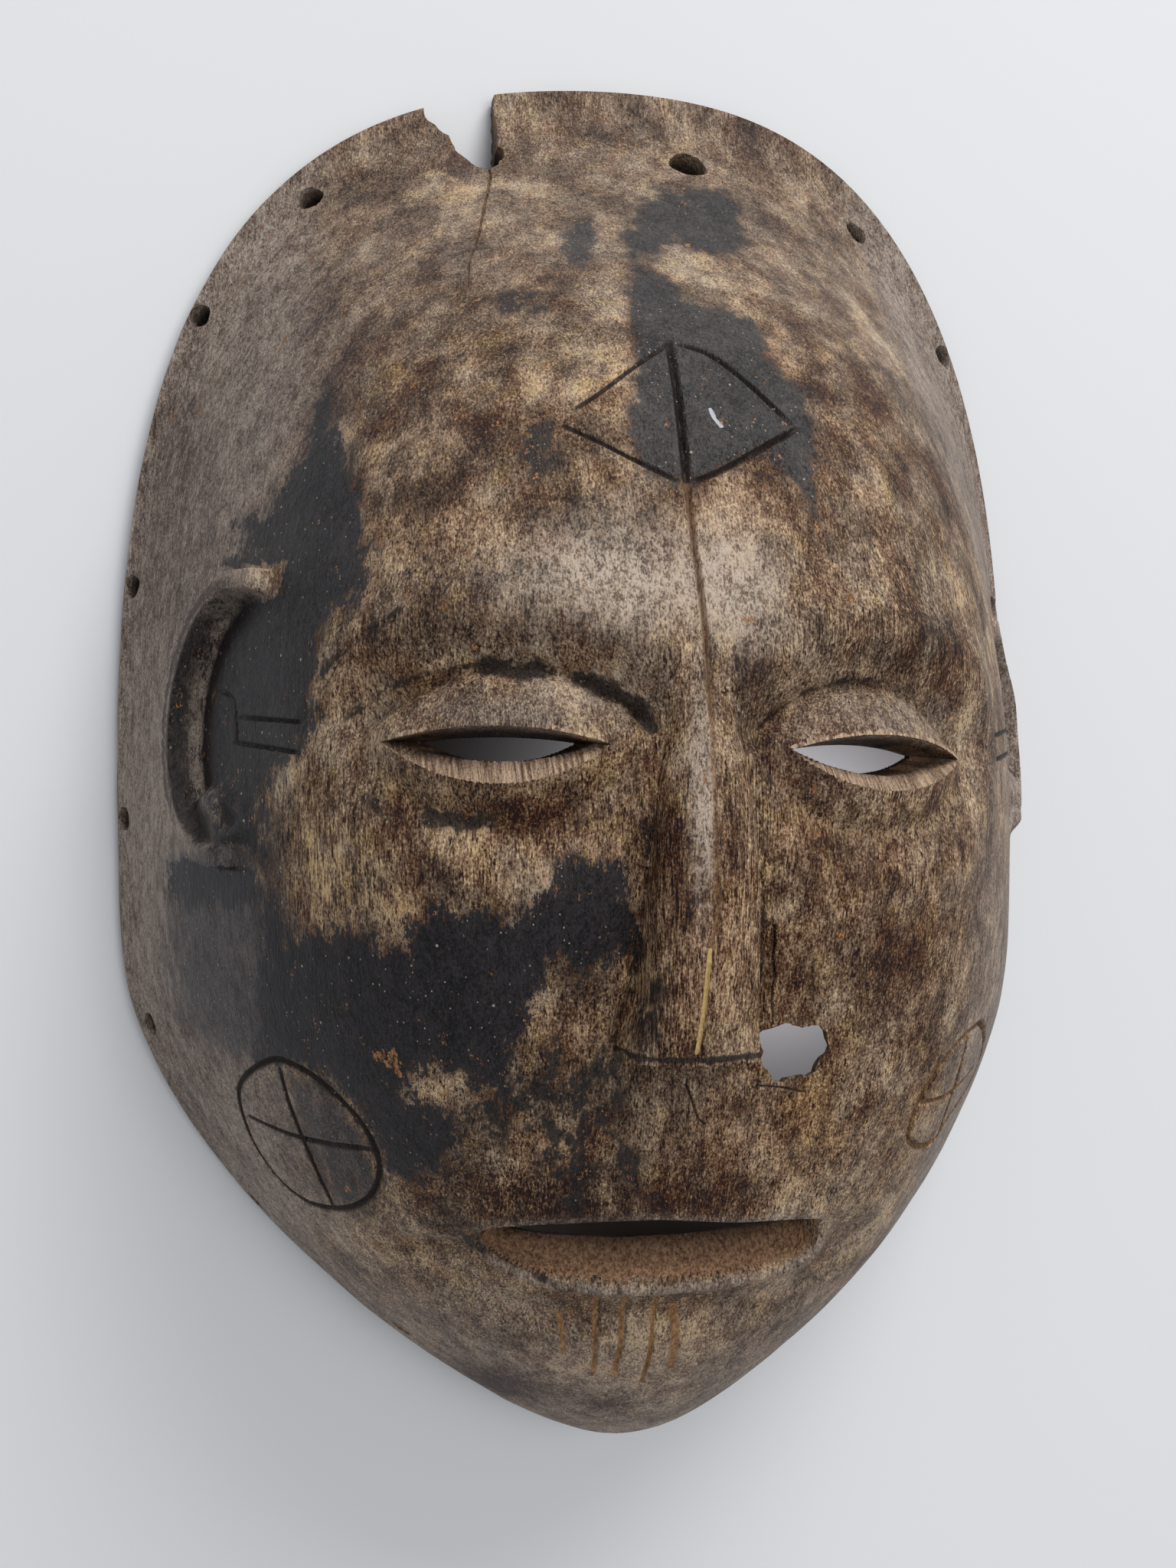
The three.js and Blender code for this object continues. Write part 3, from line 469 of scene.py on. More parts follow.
# ------------------------------------------------------------------ skins, refined where the carving is fine
def refine(uv, tris, place, target, passes):
    pts = place(uv)
    for _ in range(passes):
        e = np.stack([tris[:, [0, 1]], tris[:, [1, 2]], tris[:, [2, 0]]], 1)
        key = np.sort(e.reshape(-1, 2), 1)
        uniq, inv = np.unique(key[:, 0].astype(np.int64) * 10_000_000 + key[:, 1], return_inverse=True)
        a, b = (uniq // 10_000_000).astype(int), (uniq % 10_000_000).astype(int)
        mid = (pts[a] + pts[b]) / 2
        cut = np.linalg.norm(pts[a] - pts[b], axis=1) > target(mid) * 1.45
        if not cut.any():
            break
        new = np.full(len(uniq), -1)
        new[cut] = len(uv) + np.arange(cut.sum())
        uv = np.vstack([uv, (uv[a[cut]] + uv[b[cut]]) / 2])
        pts = np.vstack([pts, place(uv[len(pts):])])
        m = new[inv.reshape(-1, 3)]
        n = (m >= 0).sum(1)
        out = [tris[n == 0]]
        for rot in range(3):
            r0, r1, r2 = rot, (rot + 1) % 3, (rot + 2) % 3
            one = (n == 1) & (m[:, r0] >= 0)
            t, k = tris[one], m[one]
            out += [np.stack([t[:, r0], k[:, r0], t[:, r2]], 1), np.stack([k[:, r0], t[:, r1], t[:, r2]], 1)]
            two = (n == 2) & (m[:, r2] < 0)
            t, k = tris[two], m[two]
            p, q, r, pq, qr = t[:, r0], t[:, r1], t[:, r2], k[:, r0], k[:, r1]
            out.append(np.stack([pq, q, qr], 1))
            short = np.linalg.norm(pts[p] - pts[qr], axis=1) < np.linalg.norm(pts[pq] - pts[r], axis=1)
            for sel, A, B in ((short, (p, pq, qr), (p, qr, r)), (~short, (p, pq, r), (pq, qr, r))):
                out += [np.stack([v[sel] for v in A], 1), np.stack([v[sel] for v in B], 1)]
        three = n == 3
        t, k = tris[three], m[three]
        out += [
            np.stack([t[:, 0], k[:, 0], k[:, 2]], 1),
            np.stack([k[:, 0], t[:, 1], k[:, 1]], 1),
            np.stack([k[:, 2], k[:, 1], t[:, 2]], 1),
            np.stack([k[:, 0], k[:, 1], k[:, 2]], 1),
        ]
        tris = np.vstack(out)
    return uv, pts, tris


def grid(nu, nv):
    i, j = np.meshgrid(np.arange(nu + 1), np.arange(nv + 1))
    uv = np.stack([-1 + 2 * i / nu, -1 + 2 * j / nv], -1).reshape(-1, 2)
    i, j = np.meshgrid(np.arange(nu), np.arange(nv))
    i, j = i.ravel(), j.ravel()
    a = j * (nu + 1) + i
    b, c, d = a + 1, a + nu + 2, a + nu + 1
    one = (i < nu / 2) == (j < nv / 2)
    tris = np.vstack([np.stack([a, b, c], 1)[one], np.stack([a, c, d], 1)[one], np.stack([a, b, d], 1)[~one], np.stack([b, c, d], 1)[~one]])
    return uv, tris


def edge_loop(uv, tris):
    e = np.stack([tris[:, [0, 1]], tris[:, [1, 2]], tris[:, [2, 0]]], 1).reshape(-1, 2)
    fwd = set(map(tuple, e.tolist()))
    nxt = {p: q for p, q in fwd if (q, p) not in fwd}
    first = next(iter(sorted(nxt)))
    loop = [first]
    while nxt[loop[-1]] != first:
        loop.append(nxt[loop[-1]])
    return loop


def front_target(p):
    x, y, z = p[:, 0], p[:, 1], p[:, 2]
    t = np.full(len(p), 2.3)
    grow = lambda least, d: least + 0.42 * np.abs(d)
    for E in EYES:
        s = lens(E, x, y)[0]
        t = np.minimum(t, grow(0.55, s))
        t = np.where((s < 0), np.minimum(t, 1.1), t)
    for S in SLITS:
        t = np.minimum(t, grow(0.5, lens(S, x, y)[0]))
    s = mouth_field(x, y)[0]
    t = np.minimum(t, grow(0.6, s))
    t = np.where((s > 0) & (s < 10) & (y < -66), np.minimum(t, 1.4), t)
    nose = (np.abs(x) < 20) & (y > -48) & (y < 24)
    foot, ridge = nose_foot(x, y), along_nose(y, NOSE_RIDGE)
    dn = np.minimum(np.abs(np.abs(x) - foot * 0.93), np.abs(np.abs(x) - ridge) + 0.5)
    de = np.hypot(np.maximum(np.abs(x) - foot, 0), y - NOSE_END)
    dn = np.where(y < NOSE_END, de, dn)
    t = np.where(nose, np.minimum(t, np.minimum(grow(0.55, dn), grow(0.35, de))), t)
    t = np.where((np.abs(x) < foot) & nose, np.minimum(t, 1.2), t)
    wall = (np.abs(x) > 50) & (z > 12) & (z < 60)
    d, q, w = ear_field(p)
    on = wall & (w < 10)
    t = np.where(on, np.minimum(t, grow(0.5, np.abs(d) - EAR["ridge"])), t)
    t = np.where(on & (d < 3), np.minimum(t, 1.1), t)
    for name, path, half, depth, kind in PATHS:
        dist, _ = line_distance(p, name, path, 5.0)
        t = np.where(np.isfinite(dist), np.minimum(t, grow(0.42 * max(half, 0.55), np.where(np.isfinite(dist), np.maximum(dist - half, 0), 9))), t)
    r = np.hypot(x - BREAK["x"], y - BREAK["y"])
    t = np.minimum(t, grow(0.7, r - 5))
    return t


def place_front(uv):
    p = front_base(uv[:, 0], uv[:, 1])
    n = front_normal(p[:, 0], p[:, 1])
    edge = smooth((p[:, 2] - RIM_BAND) / 6)
    return p + n * (relief(p) * edge)[:, None]


def place_back(uv):
    p = back_base(uv[:, 0], uv[:, 1])
    d = back_relief(p)
    q = p.copy()
    q[:, 2] = np.where(p[:, 2] > 0.01, np.maximum(p[:, 2] + d * smooth(p[:, 2] / 8), 0.02), 0)
    return q


def shell():
    fuv, ftri = grid(48, 68)
    fuv, fp, ftri = refine(fuv, ftri, place_front, front_target, 6)
    buv, btri = grid(34, 46)
    buv, bp, btri = refine(buv, btri, place_back, lambda p: np.full(len(p), 3.4), 2)
    lf = edge_loop(fuv, ftri)
    lb = [i + len(fp) for i in edge_loop(buv, btri)]
    pts = [fp, bp]
    n = len(fp) + len(bp)
    rim = fp[lf].copy()
    c = np.array([0, WIDEST_Y])
    inward = c - rim[:, :2]
    inward /= np.linalg.norm(inward, axis=1)[:, None]
    tris = [ftri, btri[:, ::-1] + len(fp)]
    rough = noise(rim, (7, 7, 7), 1)
    rings = []
    for inset, z in ((-0.25, RIM_BAND - 1.4), (-0.2, 1.3), (0.25, 0.4), (0.9, 0.0)):
        r = rim.copy()
        r[:, :2] += inward * (inset + 0.18 * rough[:, None])
        r[:, 2] = z
        pts.append(r)
        rings.append(list(range(n, n + len(lf))))
        n += len(lf)
    prev = lf
    for r in rings:
        a, b = np.array(prev), np.array(r)
        a2, b2 = np.roll(a, -1), np.roll(b, -1)
        tris += [np.stack([a, b2, a2], 1), np.stack([a, b, b2], 1)]
        prev = r
    P = np.vstack(pts)
    ang = lambda i: math.atan2(P[i][1] - WIDEST_Y, P[i][0])

    def turn(loop):
        k = min(range(len(loop)), key=lambda q: ang(loop[q]))
        return loop[k:] + loop[:k]

    A, B = turn(prev), turn(lb)
    aa = [ang(i) for i in A] + [ang(A[0]) + 2 * math.pi]
    bb = [ang(i) for i in B] + [ang(B[0]) + 2 * math.pi]
    i = j = 0
    flat = []
    while i < len(A) or j < len(B):
        a, b = A[i % len(A)], B[j % len(B)]
        if j >= len(B) or (i < len(A) and aa[i + 1] <= bb[j + 1]):
            flat.append((a, b, A[(i + 1) % len(A)]))
            i += 1
        else:
            flat.append((a, b, B[(j + 1) % len(B)]))
            j += 1
    tris.append(np.array(flat))
    return P, np.vstack(tris)


# ------------------------------------------------------------------ meshes and cutters
def mesh_object(name, P, T):
    me = bpy.data.meshes.new(name)
    me.vertices.add(len(P))
    me.vertices.foreach_set("co", (np.asarray(P) * MM).astype(np.float32).ravel())
    me.loops.add(len(T) * 3)
    me.loops.foreach_set("vertex_index", np.asarray(T, np.int32).ravel())
    me.polygons.add(len(T))
    me.polygons.foreach_set("loop_start", np.arange(0, len(T) * 3, 3, dtype=np.int32))
    me.update(calc_edges=True)
    me.validate()
    ob = bpy.data.objects.new(name, me)
    bpy.context.scene.collection.objects.link(ob)
    return ob


def loft(rings):
    """Closed solid through rings of equal length."""
    n = len(rings[0])
    P = np.vstack(rings)
    T = []
    idx = np.arange(n)
    nx = (idx + 1) % n
    for k in range(len(rings) - 1):
        a, b = k * n + idx, k * n + nx
        T += [np.stack([a, b, b + n], 1), np.stack([a, b + n, a + n], 1)]
    for k, flip in ((0, True), (len(rings) - 1, False)):
        m = len(P)
        P = np.vstack([P, P[k * n : (k + 1) * n].mean(0)])
        a, b = k * n + idx, k * n + nx
        T.append(np.stack([np.full(n, m), b, a] if flip else [np.full(n, m), a, b], 1))
    T = np.vstack(T)
    v = np.einsum("ij,ij->i", P[T[:, 0]], np.cross(P[T[:, 1]], P[T[:, 2]])).sum()
    return P, (T if v > 0 else T[:, ::-1])


def slit_ring(L, half, up, low, shift, n=70):
    """The edge of a slit: two arcs end to end."""
    out = []
    for h, sign in ((up, 1), (low, -1)):
        r = (half * half + h * h) / (2 * h)
        span = math.asin(min(half / r, 1))
        t = -span + 2 * span * np.arange(n) / n
        a, b = shift + r * np.sin(t) * sign, sign * (r * np.cos(t) - (r - h))
        c, s = math.cos(L["turn"]), math.sin(L["turn"])
        out.append(np.stack([L["x"] + a * c - b * s, L["y"] + a * s + b * c], 1))
    return np.vstack(out)


def opening(outer, inner, mid=None, mid_deep=2.3, flute=0.0):
    """A hole narrowing from one ring in the front to another at the back, by way of a middle one where it has a bevel."""
    k = np.arange(len(outer))
    low = k >= len(outer) // 2
    fl = np.where(low, flute, flute * 0.35) * np.where(low, 1, -1)
    rough = lambda ring, phase, much: np.column_stack([ring[:, 0], ring[:, 1] + fl * much * (np.abs(np.sin(k * 1.7 + phase)) - 0.5)])
    on = lambda ring: np.column_stack([ring, front_height(ring[:, 0], ring[:, 1])])
    outer = rough(outer, 0.0, 1.0)
    P = on(outer)
    P[:, 2] += relief(P)
    Q = on(rough(inner, 0.4, 0.8))
    Q[:, 2] -= FRONT_WALL + 1.5
    rings = [Q - (0, 0, 9.0), Q]
    if mid is None:
        for t in (0.25, 0.5, 0.75):
            M = Q + (P - Q) * t
            M[:, 1] += np.where(low, -0.5 * math.sin(t * math.pi), 0)
            rings.append(M)
    else:
        M = on(rough(mid, 0.2, 1.0))
        M[:, 2] = P[:, 2] - mid_deep
        rings += [M + (Q - M) * 0.35 + (0, 0, 0.0), M, (M + P) / 2]
    rings += [P, P + (P - rings[-1]) * (4.5 if mid is not None else 2.2)]
    return loft(rings)


def bore(p, n, r, reach, sides=28, squash=1.0):
    w = np.cross([0, 1, 0], n)
    w = w / np.linalg.norm(w) if np.linalg.norm(w) > 0.2 else np.array([1.0, 0, 0])
    h = np.cross(n, w)
    t = 2 * math.pi * np.arange(sides) / sides
    wob = 1 + 0.05 * np.sin(3 * t + p[1]) + 0.03 * np.sin(5 * t + p[0])
    circle = lambda k, s: p + n * s + r * k * (wob * np.cos(t))[:, None] * w + r * k * squash * (wob * np.sin(t))[:, None] * h
    return loft([circle(0.9, -reach), circle(0.92, -3), circle(1.0, 0.0), circle(1.18, 1.4), circle(1.2, reach)])


def prism(outline_pts, levels):
    """Upright prism with one ring per level (z, roughness, spread)."""
    q = np.array(outline_pts)
    middle = q.mean(0)
    rings = []
    for z, rough, spread in levels:
        p = np.column_stack([middle + (q - middle) * spread, np.full(len(q), z)])
        p[:, 0] += rough * noise(p * (1, 1, 3), (1.6, 1.6, 1.6), 0)
        p[:, 1] += rough * noise(p * (1, 1, 3), (1.6, 1.6, 1.6), 1)
        rings.append(p)
    return loft(rings)


def densify(pts, step, jag, seed):
    p = np.array(pts, float)
    out = []
    for a, b in zip(p, np.roll(p, -1, 0)):
        m = max(int(np.linalg.norm(b - a) / step), 1)
        t = np.arange(m)[:, None] / m
        q = a + (b - a) * t
        side = np.array([-(b - a)[1], (b - a)[0]])
        side = side / (np.linalg.norm(side) + 1e-9)
        k = np.column_stack([q, np.full(len(q), 3.7 * seed)])
        out.append(q + side * (jag * noise(k, (1.1, 1.1, 1.1), 2) + jag * 0.6 * noise(k, (0.5, 0.5, 0.5), 1))[:, None] * (t > 0))
    return np.vstack(out)


HOLES = []


def cutters():
    out = []
    for S in SLITS:
        out.append(opening(slit_ring(S, S["half"], S["up"], S["low"], 0.0), slit_ring(S, *S["back"]), slit_ring(S, *S["mid"]), flute=0.35))
    edge = mouth_ring(70)
    up = edge[:, 1] > MOUTH["y"]
    back = np.stack(
        [
            MOUTH["x"] + (edge[:, 0] - MOUTH["x"]) * MOUTH["back_half"] / MOUTH["half"],
            MOUTH["y"] + (edge[:, 1] - MOUTH["y"]) * np.where(up, MOUTH["back_up"] / MOUTH["up"], MOUTH["back_low"] / MOUTH["low"]),
        ],
        1,
    )
    out.append(opening(edge, back, flute=0.04))
    for y, r, high in CORD_HOLES:
        for side in (-1, 1):
            if y > 100:
                x = side * 51.0
                p = np.array([x, y, float(front_height(x, y))])
            else:
                lo, hi = 0.0, 90.0
                for _ in range(50):
                    m = (lo + hi) / 2
                    if front_height(side * m, y) > high:
                        lo = m
                    else:
                        hi = m
                p = np.array([side * lo, y, high])
            n = front_normal(np.array([p[0]]), np.array([p[1]]))[0]
            out.append(bore(p, n, r, 14))
            HOLES.append(p)
    for x, r in TOP_HOLES:
        p = np.array([x, 110.6, float(front_height(x, 110.6))])
        n = front_normal(np.array([x]), np.array([110.6]))[0] + np.array([0, 0, 0.35])
        out.append(bore(p, n / np.linalg.norm(n), r, 14))
        HOLES.append(p)
    out.append(
        prism(
            densify(
                [(-31.8, 131), (-30.8, 121.5), (-30.2, 118.0), (-28.6, 116.6), (-27.4, 115.0), (-26.2, 114.4), (-25.4, 111.0), (-23.2, 108.6), (-21.6, 107.0), (-20.2, 106.3), (-19.0, 107.2), (-18.2, 107.6), (-17.6, 112.8), (-17.7, 120.0), (-17.4, 131)],
                0.7,
                0.22,
                1,
            ),
            [(-3, 0.0, 1), (2, 0.2, 1), (5, 0.25, 1), (8, 0.25, 1), (11, 0.25, 1), (14, 0.25, 1), (18, 0.2, 1), (40, 0.0, 1)],
        )
    )
    t = 2 * math.pi * np.arange(22) / 22
    c, s = np.cos(t), np.sin(t)
    q = (np.abs(c) ** 3 + np.abs(s) ** 3) ** (-1 / 3)
    rag = 1 + 0.09 * np.sin(3 * t + 0.7) + 0.07 * np.sin(7 * t + 2)
    out.append(
        prism(
            densify(np.stack([BREAK["x"] + BREAK["rx"] * q * c * rag, BREAK["y"] + BREAK["ry"] * q * s * rag], 1), 0.45, 0.35, 2),
            [(50, 0.0, 1.35), (72, 0.15, 1.3), (75, 0.25, 1.14), (76.5, 0.3, 1.05), (78, 0.3, 1.0), (80, 0.2, 1.0), (96, 0.0, 1.0)],
        )
    )
    return out


P, T = shell()
mask = mesh_object("mask_wood", P, T)
tools = []
for k, (p, t) in enumerate(cutters()):
    tools.append(mesh_object("tool_%02d" % k, p, t))
for tool in tools:
    m = mask.modifiers.new("cut", "BOOLEAN")
    m.operation = "DIFFERENCE"
    m.solver = "MANIFOLD"
    m.object = tool
bpy.context.view_layer.update()
dg = bpy.context.evaluated_depsgraph_get()
cut_mesh = bpy.data.meshes.new_from_object(mask.evaluated_get(dg))
old = mask.data
mask.modifiers.clear()
mask.data = cut_mesh
bpy.data.meshes.remove(old)
for tool in tools:
    me = tool.data
    bpy.data.objects.remove(tool)
    bpy.data.meshes.remove(me)
me = mask.data

# keep the one body: drop any splinter left by a cut
nv, nf = len(me.vertices), len(me.polygons)
edges = np.empty(len(me.edges) * 2, np.int32)
me.edges.foreach_get("vertices", edges)
edges = edges.reshape(-1, 2)
label = np.arange(nv)
while True:
    lowest = label.copy()
    np.minimum.at(lowest, edges[:, 0], label[edges[:, 1]])
    np.minimum.at(lowest, edges[:, 1], label[edges[:, 0]])
    lowest = lowest[lowest]
    if (lowest == label).all():
        break
    label = lowest
keep = label == np.bincount(label).argmax()
if not keep.all():
    import bmesh

    bm = bmesh.new()
    bm.from_mesh(me)
    bm.verts.ensure_lookup_table()
    bmesh.ops.delete(bm, geom=[bm.verts[i] for i in np.nonzero(~keep)[0]], context="VERTS")
    bm.to_mesh(me)
    bm.free()
print("MASK", nv, nf, "loose", int((~keep).sum()))

# ------------------------------------------------------------------ fields for the wood's colours
# soot patches, closed outlines in x, y on the front, mm
SOOT = {
    "soot_fore": [
        [(2.9, 93.4), (0.4, 91.7), (-1.3, 88.8), (-1.3, 85.4), (0.3, 84.2), (3.0, 85.5), (5.6, 87.7), (7.1, 89.6), (9.0, 90.8), (9.9, 89.2), (12.1, 88.1), (15.2, 87.1), (19.0, 89.1), (22.1, 91.7), (22.7, 96.0), (24.0, 101.3), (22.8, 104.6), (17.3, 104.5), (12.5, 102.4), (9.5, 102.8), (6.2, 100.2), (3.9, 96.3)],
        [(-0.8, 82.8), (-2.4, 79.5), (-3.9, 73.4), (-4.2, 69.4), (-4.4, 65.7), (-4.9, 62.0), (-6.4, 59.9), (-6.9, 56.0), (-8.1, 54.1), (-8.0, 50.4), (-7.5, 48.2), (-7.0, 45.2), (-2.7, 43.6), (0.7, 43.7), (7.6, 47.5), (13.9, 50.6), (14.2, 47.9), (14.7, 45.7), (17.1, 44.0), (19.0, 41.5), (18.9, 38.5), (19.5, 44.6), (20.2, 50.1), (21.2, 55.9), (21.4, 59.9), (18.0, 61.6), (16.8, 65.6), (17.6, 69.5), (16.2, 72.8), (12.5, 74.7), (7.9, 74.9), (5.6, 76.5), (4.6, 79.5), (2.2, 81.2), (0.7, 82.3)],
        [(-6.2, 95.0), (-9.2, 91.5), (-11.4, 87.3), (-11.4, 83.9), (-10.0, 82.4), (-7.5, 84.2), (-5.5, 89.1), (-4.4, 93.4)],
    ],
    "soot_thin": [
        [(-20.5, -50.0), (-16.0, -49.0), (-13.0, -54.0), (-12.6, -60.0), (-14.5, -64.5), (-17.5, -62.0), (-19.5, -57.0)],
        [(-26.8, 74.5), (-21.4, 76.1), (-15.9, 75.6), (-17.7, 72.7), (-24.1, 72.7)],
        [(-20.6, 53.7), (-18.7, 49.2), (-21.6, 43.5), (-23.7, 47.0), (-23.6, 51.5)],
        [(-31.6, -46.4), (-28.5, -46.3), (-25.7, -42.9), (-22.0, -39.6), (-18.5, -38.2), (-15.8, -39.2), (-12.2, -39.7), (-8.4, -42.2), (-8.9, -47.0), (-11.2, -47.9), (-15.0, -50.7), (-20.4, -51.1), (-26.4, -53.2), (-31.5, -55.0), (-32.5, -52.0)],
        [(-15.3, -51.7), (-14.0, -54.1), (-11.1, -54.2), (-8.6, -57.9), (-5.8, -59.6), (-4.8, -62.9), (-3.3, -62.6), (-4.1, -58.0), (-7.5, -53.5), (-10.6, -51.8), (-11.2, -47.9), (-13.5, -46.9)],
    ],
    "soot_temple": [
        [(-50.8, 59.5), (-48.3, 53.4), (-47.3, 47.5), (-46.6, 41.9), (-45.9, 36.6), (-45.1, 31.4), (-46.6, 27.4), (-48.0, 25.5), (-51.7, 23.6), (-52.4, 20.7), (-52.9, 13.7), (-52.7, 8.7), (-54.6, 3.7), (-59.3, 1.5), (-59.8, -2.6), (-60.2, -8.8), (-60.2, -12.9), (-60.7, -19.2), (-74.3, -22.0), (-74.9, -16.4), (-75.5, -9.0), (-77.5, 4.8), (-76.6, 15.3), (-74.6, 24.1), (-69.4, 32.4), (-63.0, 34.8), (-59.1, 34.9), (-63.2, 36.6), (-63.7, 40.7), (-59.1, 40.4), (-58.0, 44.8), (-56.0, 47.2), (-53.9, 50.9), (-52.8, 54.2)],
    ],
    "soot_cheek": [
        [(-60.3, -17.7), (-58.1, -20.2), (-57.2, -22.9), (-51.3, -22.1), (-46.7, -21.6), (-43.4, -23.2), (-40.5, -23.4), (-40.2, -19.3), (-38.2, -18.8), (-36.6, -17.0), (-33.2, -18.6), (-30.4, -18.1), (-27.0, -18.5), (-23.3, -16.7), (-20.0, -14.5), (-20.9, -12.8), (-18.8, -11.0), (-15.0, -10.4), (-9.7, -12.4), (-8.5, -19.1), (-8.9, -23.1), (-11.0, -24.9), (-14.5, -25.8), (-16.5, -28.0), (-20.2, -25.2), (-21.4, -28.0), (-23.3, -31.6), (-24.0, -35.3), (-25.1, -39.1), (-26.2, -42.9), (-28.5, -46.3), (-31.6, -46.4), (-31.8, -42.5), (-35.6, -41.8), (-38.2, -41.5), (-39.7, -44.6), (-38.8, -47.0), (-36.2, -48.2), (-32.8, -47.0), (-31.6, -51.9), (-32.7, -55.1), (-34.7, -58.0), (-37.1, -60.5), (-38.8, -60.3), (-42.3, -59.9), (-42.7, -56.0), (-44.5, -52.0), (-48.1, -47.9), (-52.5, -44.6), (-56.0, -43.9), (-60.5, -44.7)],
    ],
    "soot_film": [
        [(-56.8, -45.9), (-48.7, -49.4), (-43.9, -55.9), (-43.6, -61.9), (-45.3, -67.2), (-47.7, -67.6), (-52.3, -59.1), (-53.9, -56.2)],
        [(-60.2, -8.0), (-59.0, -17.7), (-56.0, -22.9), (-54.0, -43.9), (-60.5, -44.7), (-65.2, -45.3), (-68.6, -44.3), (-71.2, -43.0), (-73.2, -39.2), (-74.7, -31.5), (-75.0, -24.8), (-74.7, -14.4), (-66.0, -9.0)],
    ],
}
# how much lighter or darker than the rest: x, y, half width, half height, amount. Most spots are the wood's own tone,
# but some are painted light and shade: a painted highlight on the lower forehead where it shines, a painted soft shadow
# under the nose, painted shade on the nose's left flank, a painted fall from light to dark down the left side wall, and
# the chin and jaws painted lighter where the lamps reach them weakly
TONE = [
    (-25.7, 98.2, 3.4, 6.6, 0.9), (-14.8, 100.8, 7.7, 5.3, 0.9), (-0.2, 105.9, 5.5, 4.6, 0.8), (-4.7, 87.5, 3.1, 11.6, 0.8),
    (-17.5, 86.7, 5.8, 6.4, 0.6), (-26.1, 79.9, 2.0, 5.8, 1.0), (-11.3, 59.3, 6.7, 8.9, 1.6), (-10.0, 29.0, 16.0, 8.0, 0.45), (48.0, 80.0, 10.0, 22.0, 0.5), (-42.9, 88.5, 8.3, 5.4, 0.45),
    (-36.3, 63.5, 6.2, 4.3, 0.55), (-42.7, 73.0, 5.2, 4.8, 0.3), (10.3, 80.6, 7.9, 5.5, 1.0), (8.8, 88.8, 3.2, 3.0, 0.7),
    (-41.6, 109.3, 10.5, 8.0, -0.3), (-36.2, 73.2, 2.6, 2.4, -0.8), (-21.9, 75.4, 5.8, 3.1, -0.9), (-24.9, 67.2, 6.5, 4.5, -0.5),
    (-33.7, 80.4, 2.6, 2.6, -0.7), (-50.7, 71.8, 5.4, 12.8, -0.7), (-9.7, 117.6, 10.9, 3.8, -0.3), (9.4, 36.3, 8.1, 8.0, 0.5),
    (-30.6, 27.8, 7.0, 9.5, -0.3), (25.0, 70.0, 7.0, 14.0, 0.3), (-8.5, 25.4, 1.9, 2.3, -1.1), (-51.4, -13.4, 5.2, 6.2, 0.6),
    (-41.9, -18.4, 2.8, 3.1, 1.3), (-32.8, -8.4, 9.4, 3.0, 0.6), (-17.5, -34.6, 4.6, 8.6, -0.7), (-35.8, -43.8, 4.6, 2.8, 0.6),
    (-33.0, -57.4, 4.4, 3.6, 0.1), (-20.6, -56.1, 6.6, 3.7, 0.0), (34.0, -28.1, 5.9, 4.6, -1.6), (28.3, -44.1, 4.7, 3.9, -1.2),
    (16.7, -34.3, 4.0, 3.7, 0.5), (41.1, -30.8, 3.5, 4.3, -0.4), (32.9, -48.9, 2.1, 1.8, -1.0), (-30.0, -2.5, 13.0, 4.0, -1.0),
    (30.0, -3.5, 12.0, 3.6, -0.7), (41.5, 21.5, 2.4, 1.8, -1.4), (36.0, 40.0, 9.0, 22.0, -0.2), (-55.5, 4.0, 3.0, 8.0, 0.5),
    (30.0, -30.0, 30.0, 22.0, -0.05), (21.0, -62.0, 9.0, 6.0, 0.5), (-76.0, 52.0, 9.0, 30.0, -0.8), (-76.0, -8.0, 9.0, 24.0, 0.7), (-20.0, -64.0, 22.0, 7.0, -1.3), (2.0, -60.0, 12.0, 7.0, -1.0), (0.0, -98.0, 30.0, 18.0, 0.35), (-38.0, -78.0, 18.0, 12.0, 0.6), (40.0, -62.0, 14.0, 16.0, 0.7),
    (-5.2, -22.0, 3.4, 18.0, -0.25), (0.0, -42.0, 11.0, 2.4, -0.9), (-1.0, -26.0, 5.0, 5.0, 0.4), (-28.0, 45.0, 22.0, 24.0, -0.45), (22.0, 45.0, 16.0, 26.0, -0.35), (1.0, -31.0, 5.0, 7.0, 0.6), (-1.0, -88.0, 9.0, 9.0, 1.2), (-18.5, -105.0, 6.0, 5.0, -3.4), (-2.0, -105.0, 3.5, 1.8, -2.0), (24.7, -23.1, 4.0, 4.0, -1.2), (7.3, 16.9, 3.6, 4.0, -1.3), (4.6, -14.0, 2.6, 16.0, -0.05),
]
RED = [(-1.0, -25.0, 4.5, 5.5, 0.6), (-33.6, 49.8, 5.3, 10.4, 0.6), (17.8, 62.0, 14.3, 14.6, 0.25), (9.4, 36.3, 8.1, 8.0, 0.3), (10.8, -52.9, 8.4, 7.8, 0.8), (28.6, -56.5, 6.0, 5.6, 0.45), (-0.4, -21.8, 6.5, 10.2, 0.7), (20.0, 8.0, 12.0, 30.0, 0.15), (-36.0, 36.0, 8.0, 10.0, 0.3)]
GOLD = [(19.9, -47.8, 4.8, 3.5, 0.7), (22.7, -55.0, 4.6, 2.7, 0.8), (41.8, -49.4, 3.5, 7.4, 0.5), (-51.4, -13.4, 6.2, 6.2, 0.6), (-41.9, -18.4, 2.8, 3.1, 0.8), (-41.5, -42.6, 2.3, 1.6, 1.4), (-39.8, -41.0, 1.8, 1.4, 1.2), (-50.7, -43.5, 0.8, 0.8, 1.6), (-40.8, 61.4, 1.5, 1.5, 1.3), (-25.7, 98.2, 3.0, 5.0, 0.5), (-11.3, 59.3, 6.0, 8.0, 0.25), (-60.5, 33.2, 2.6, 1.6, 1.0)]
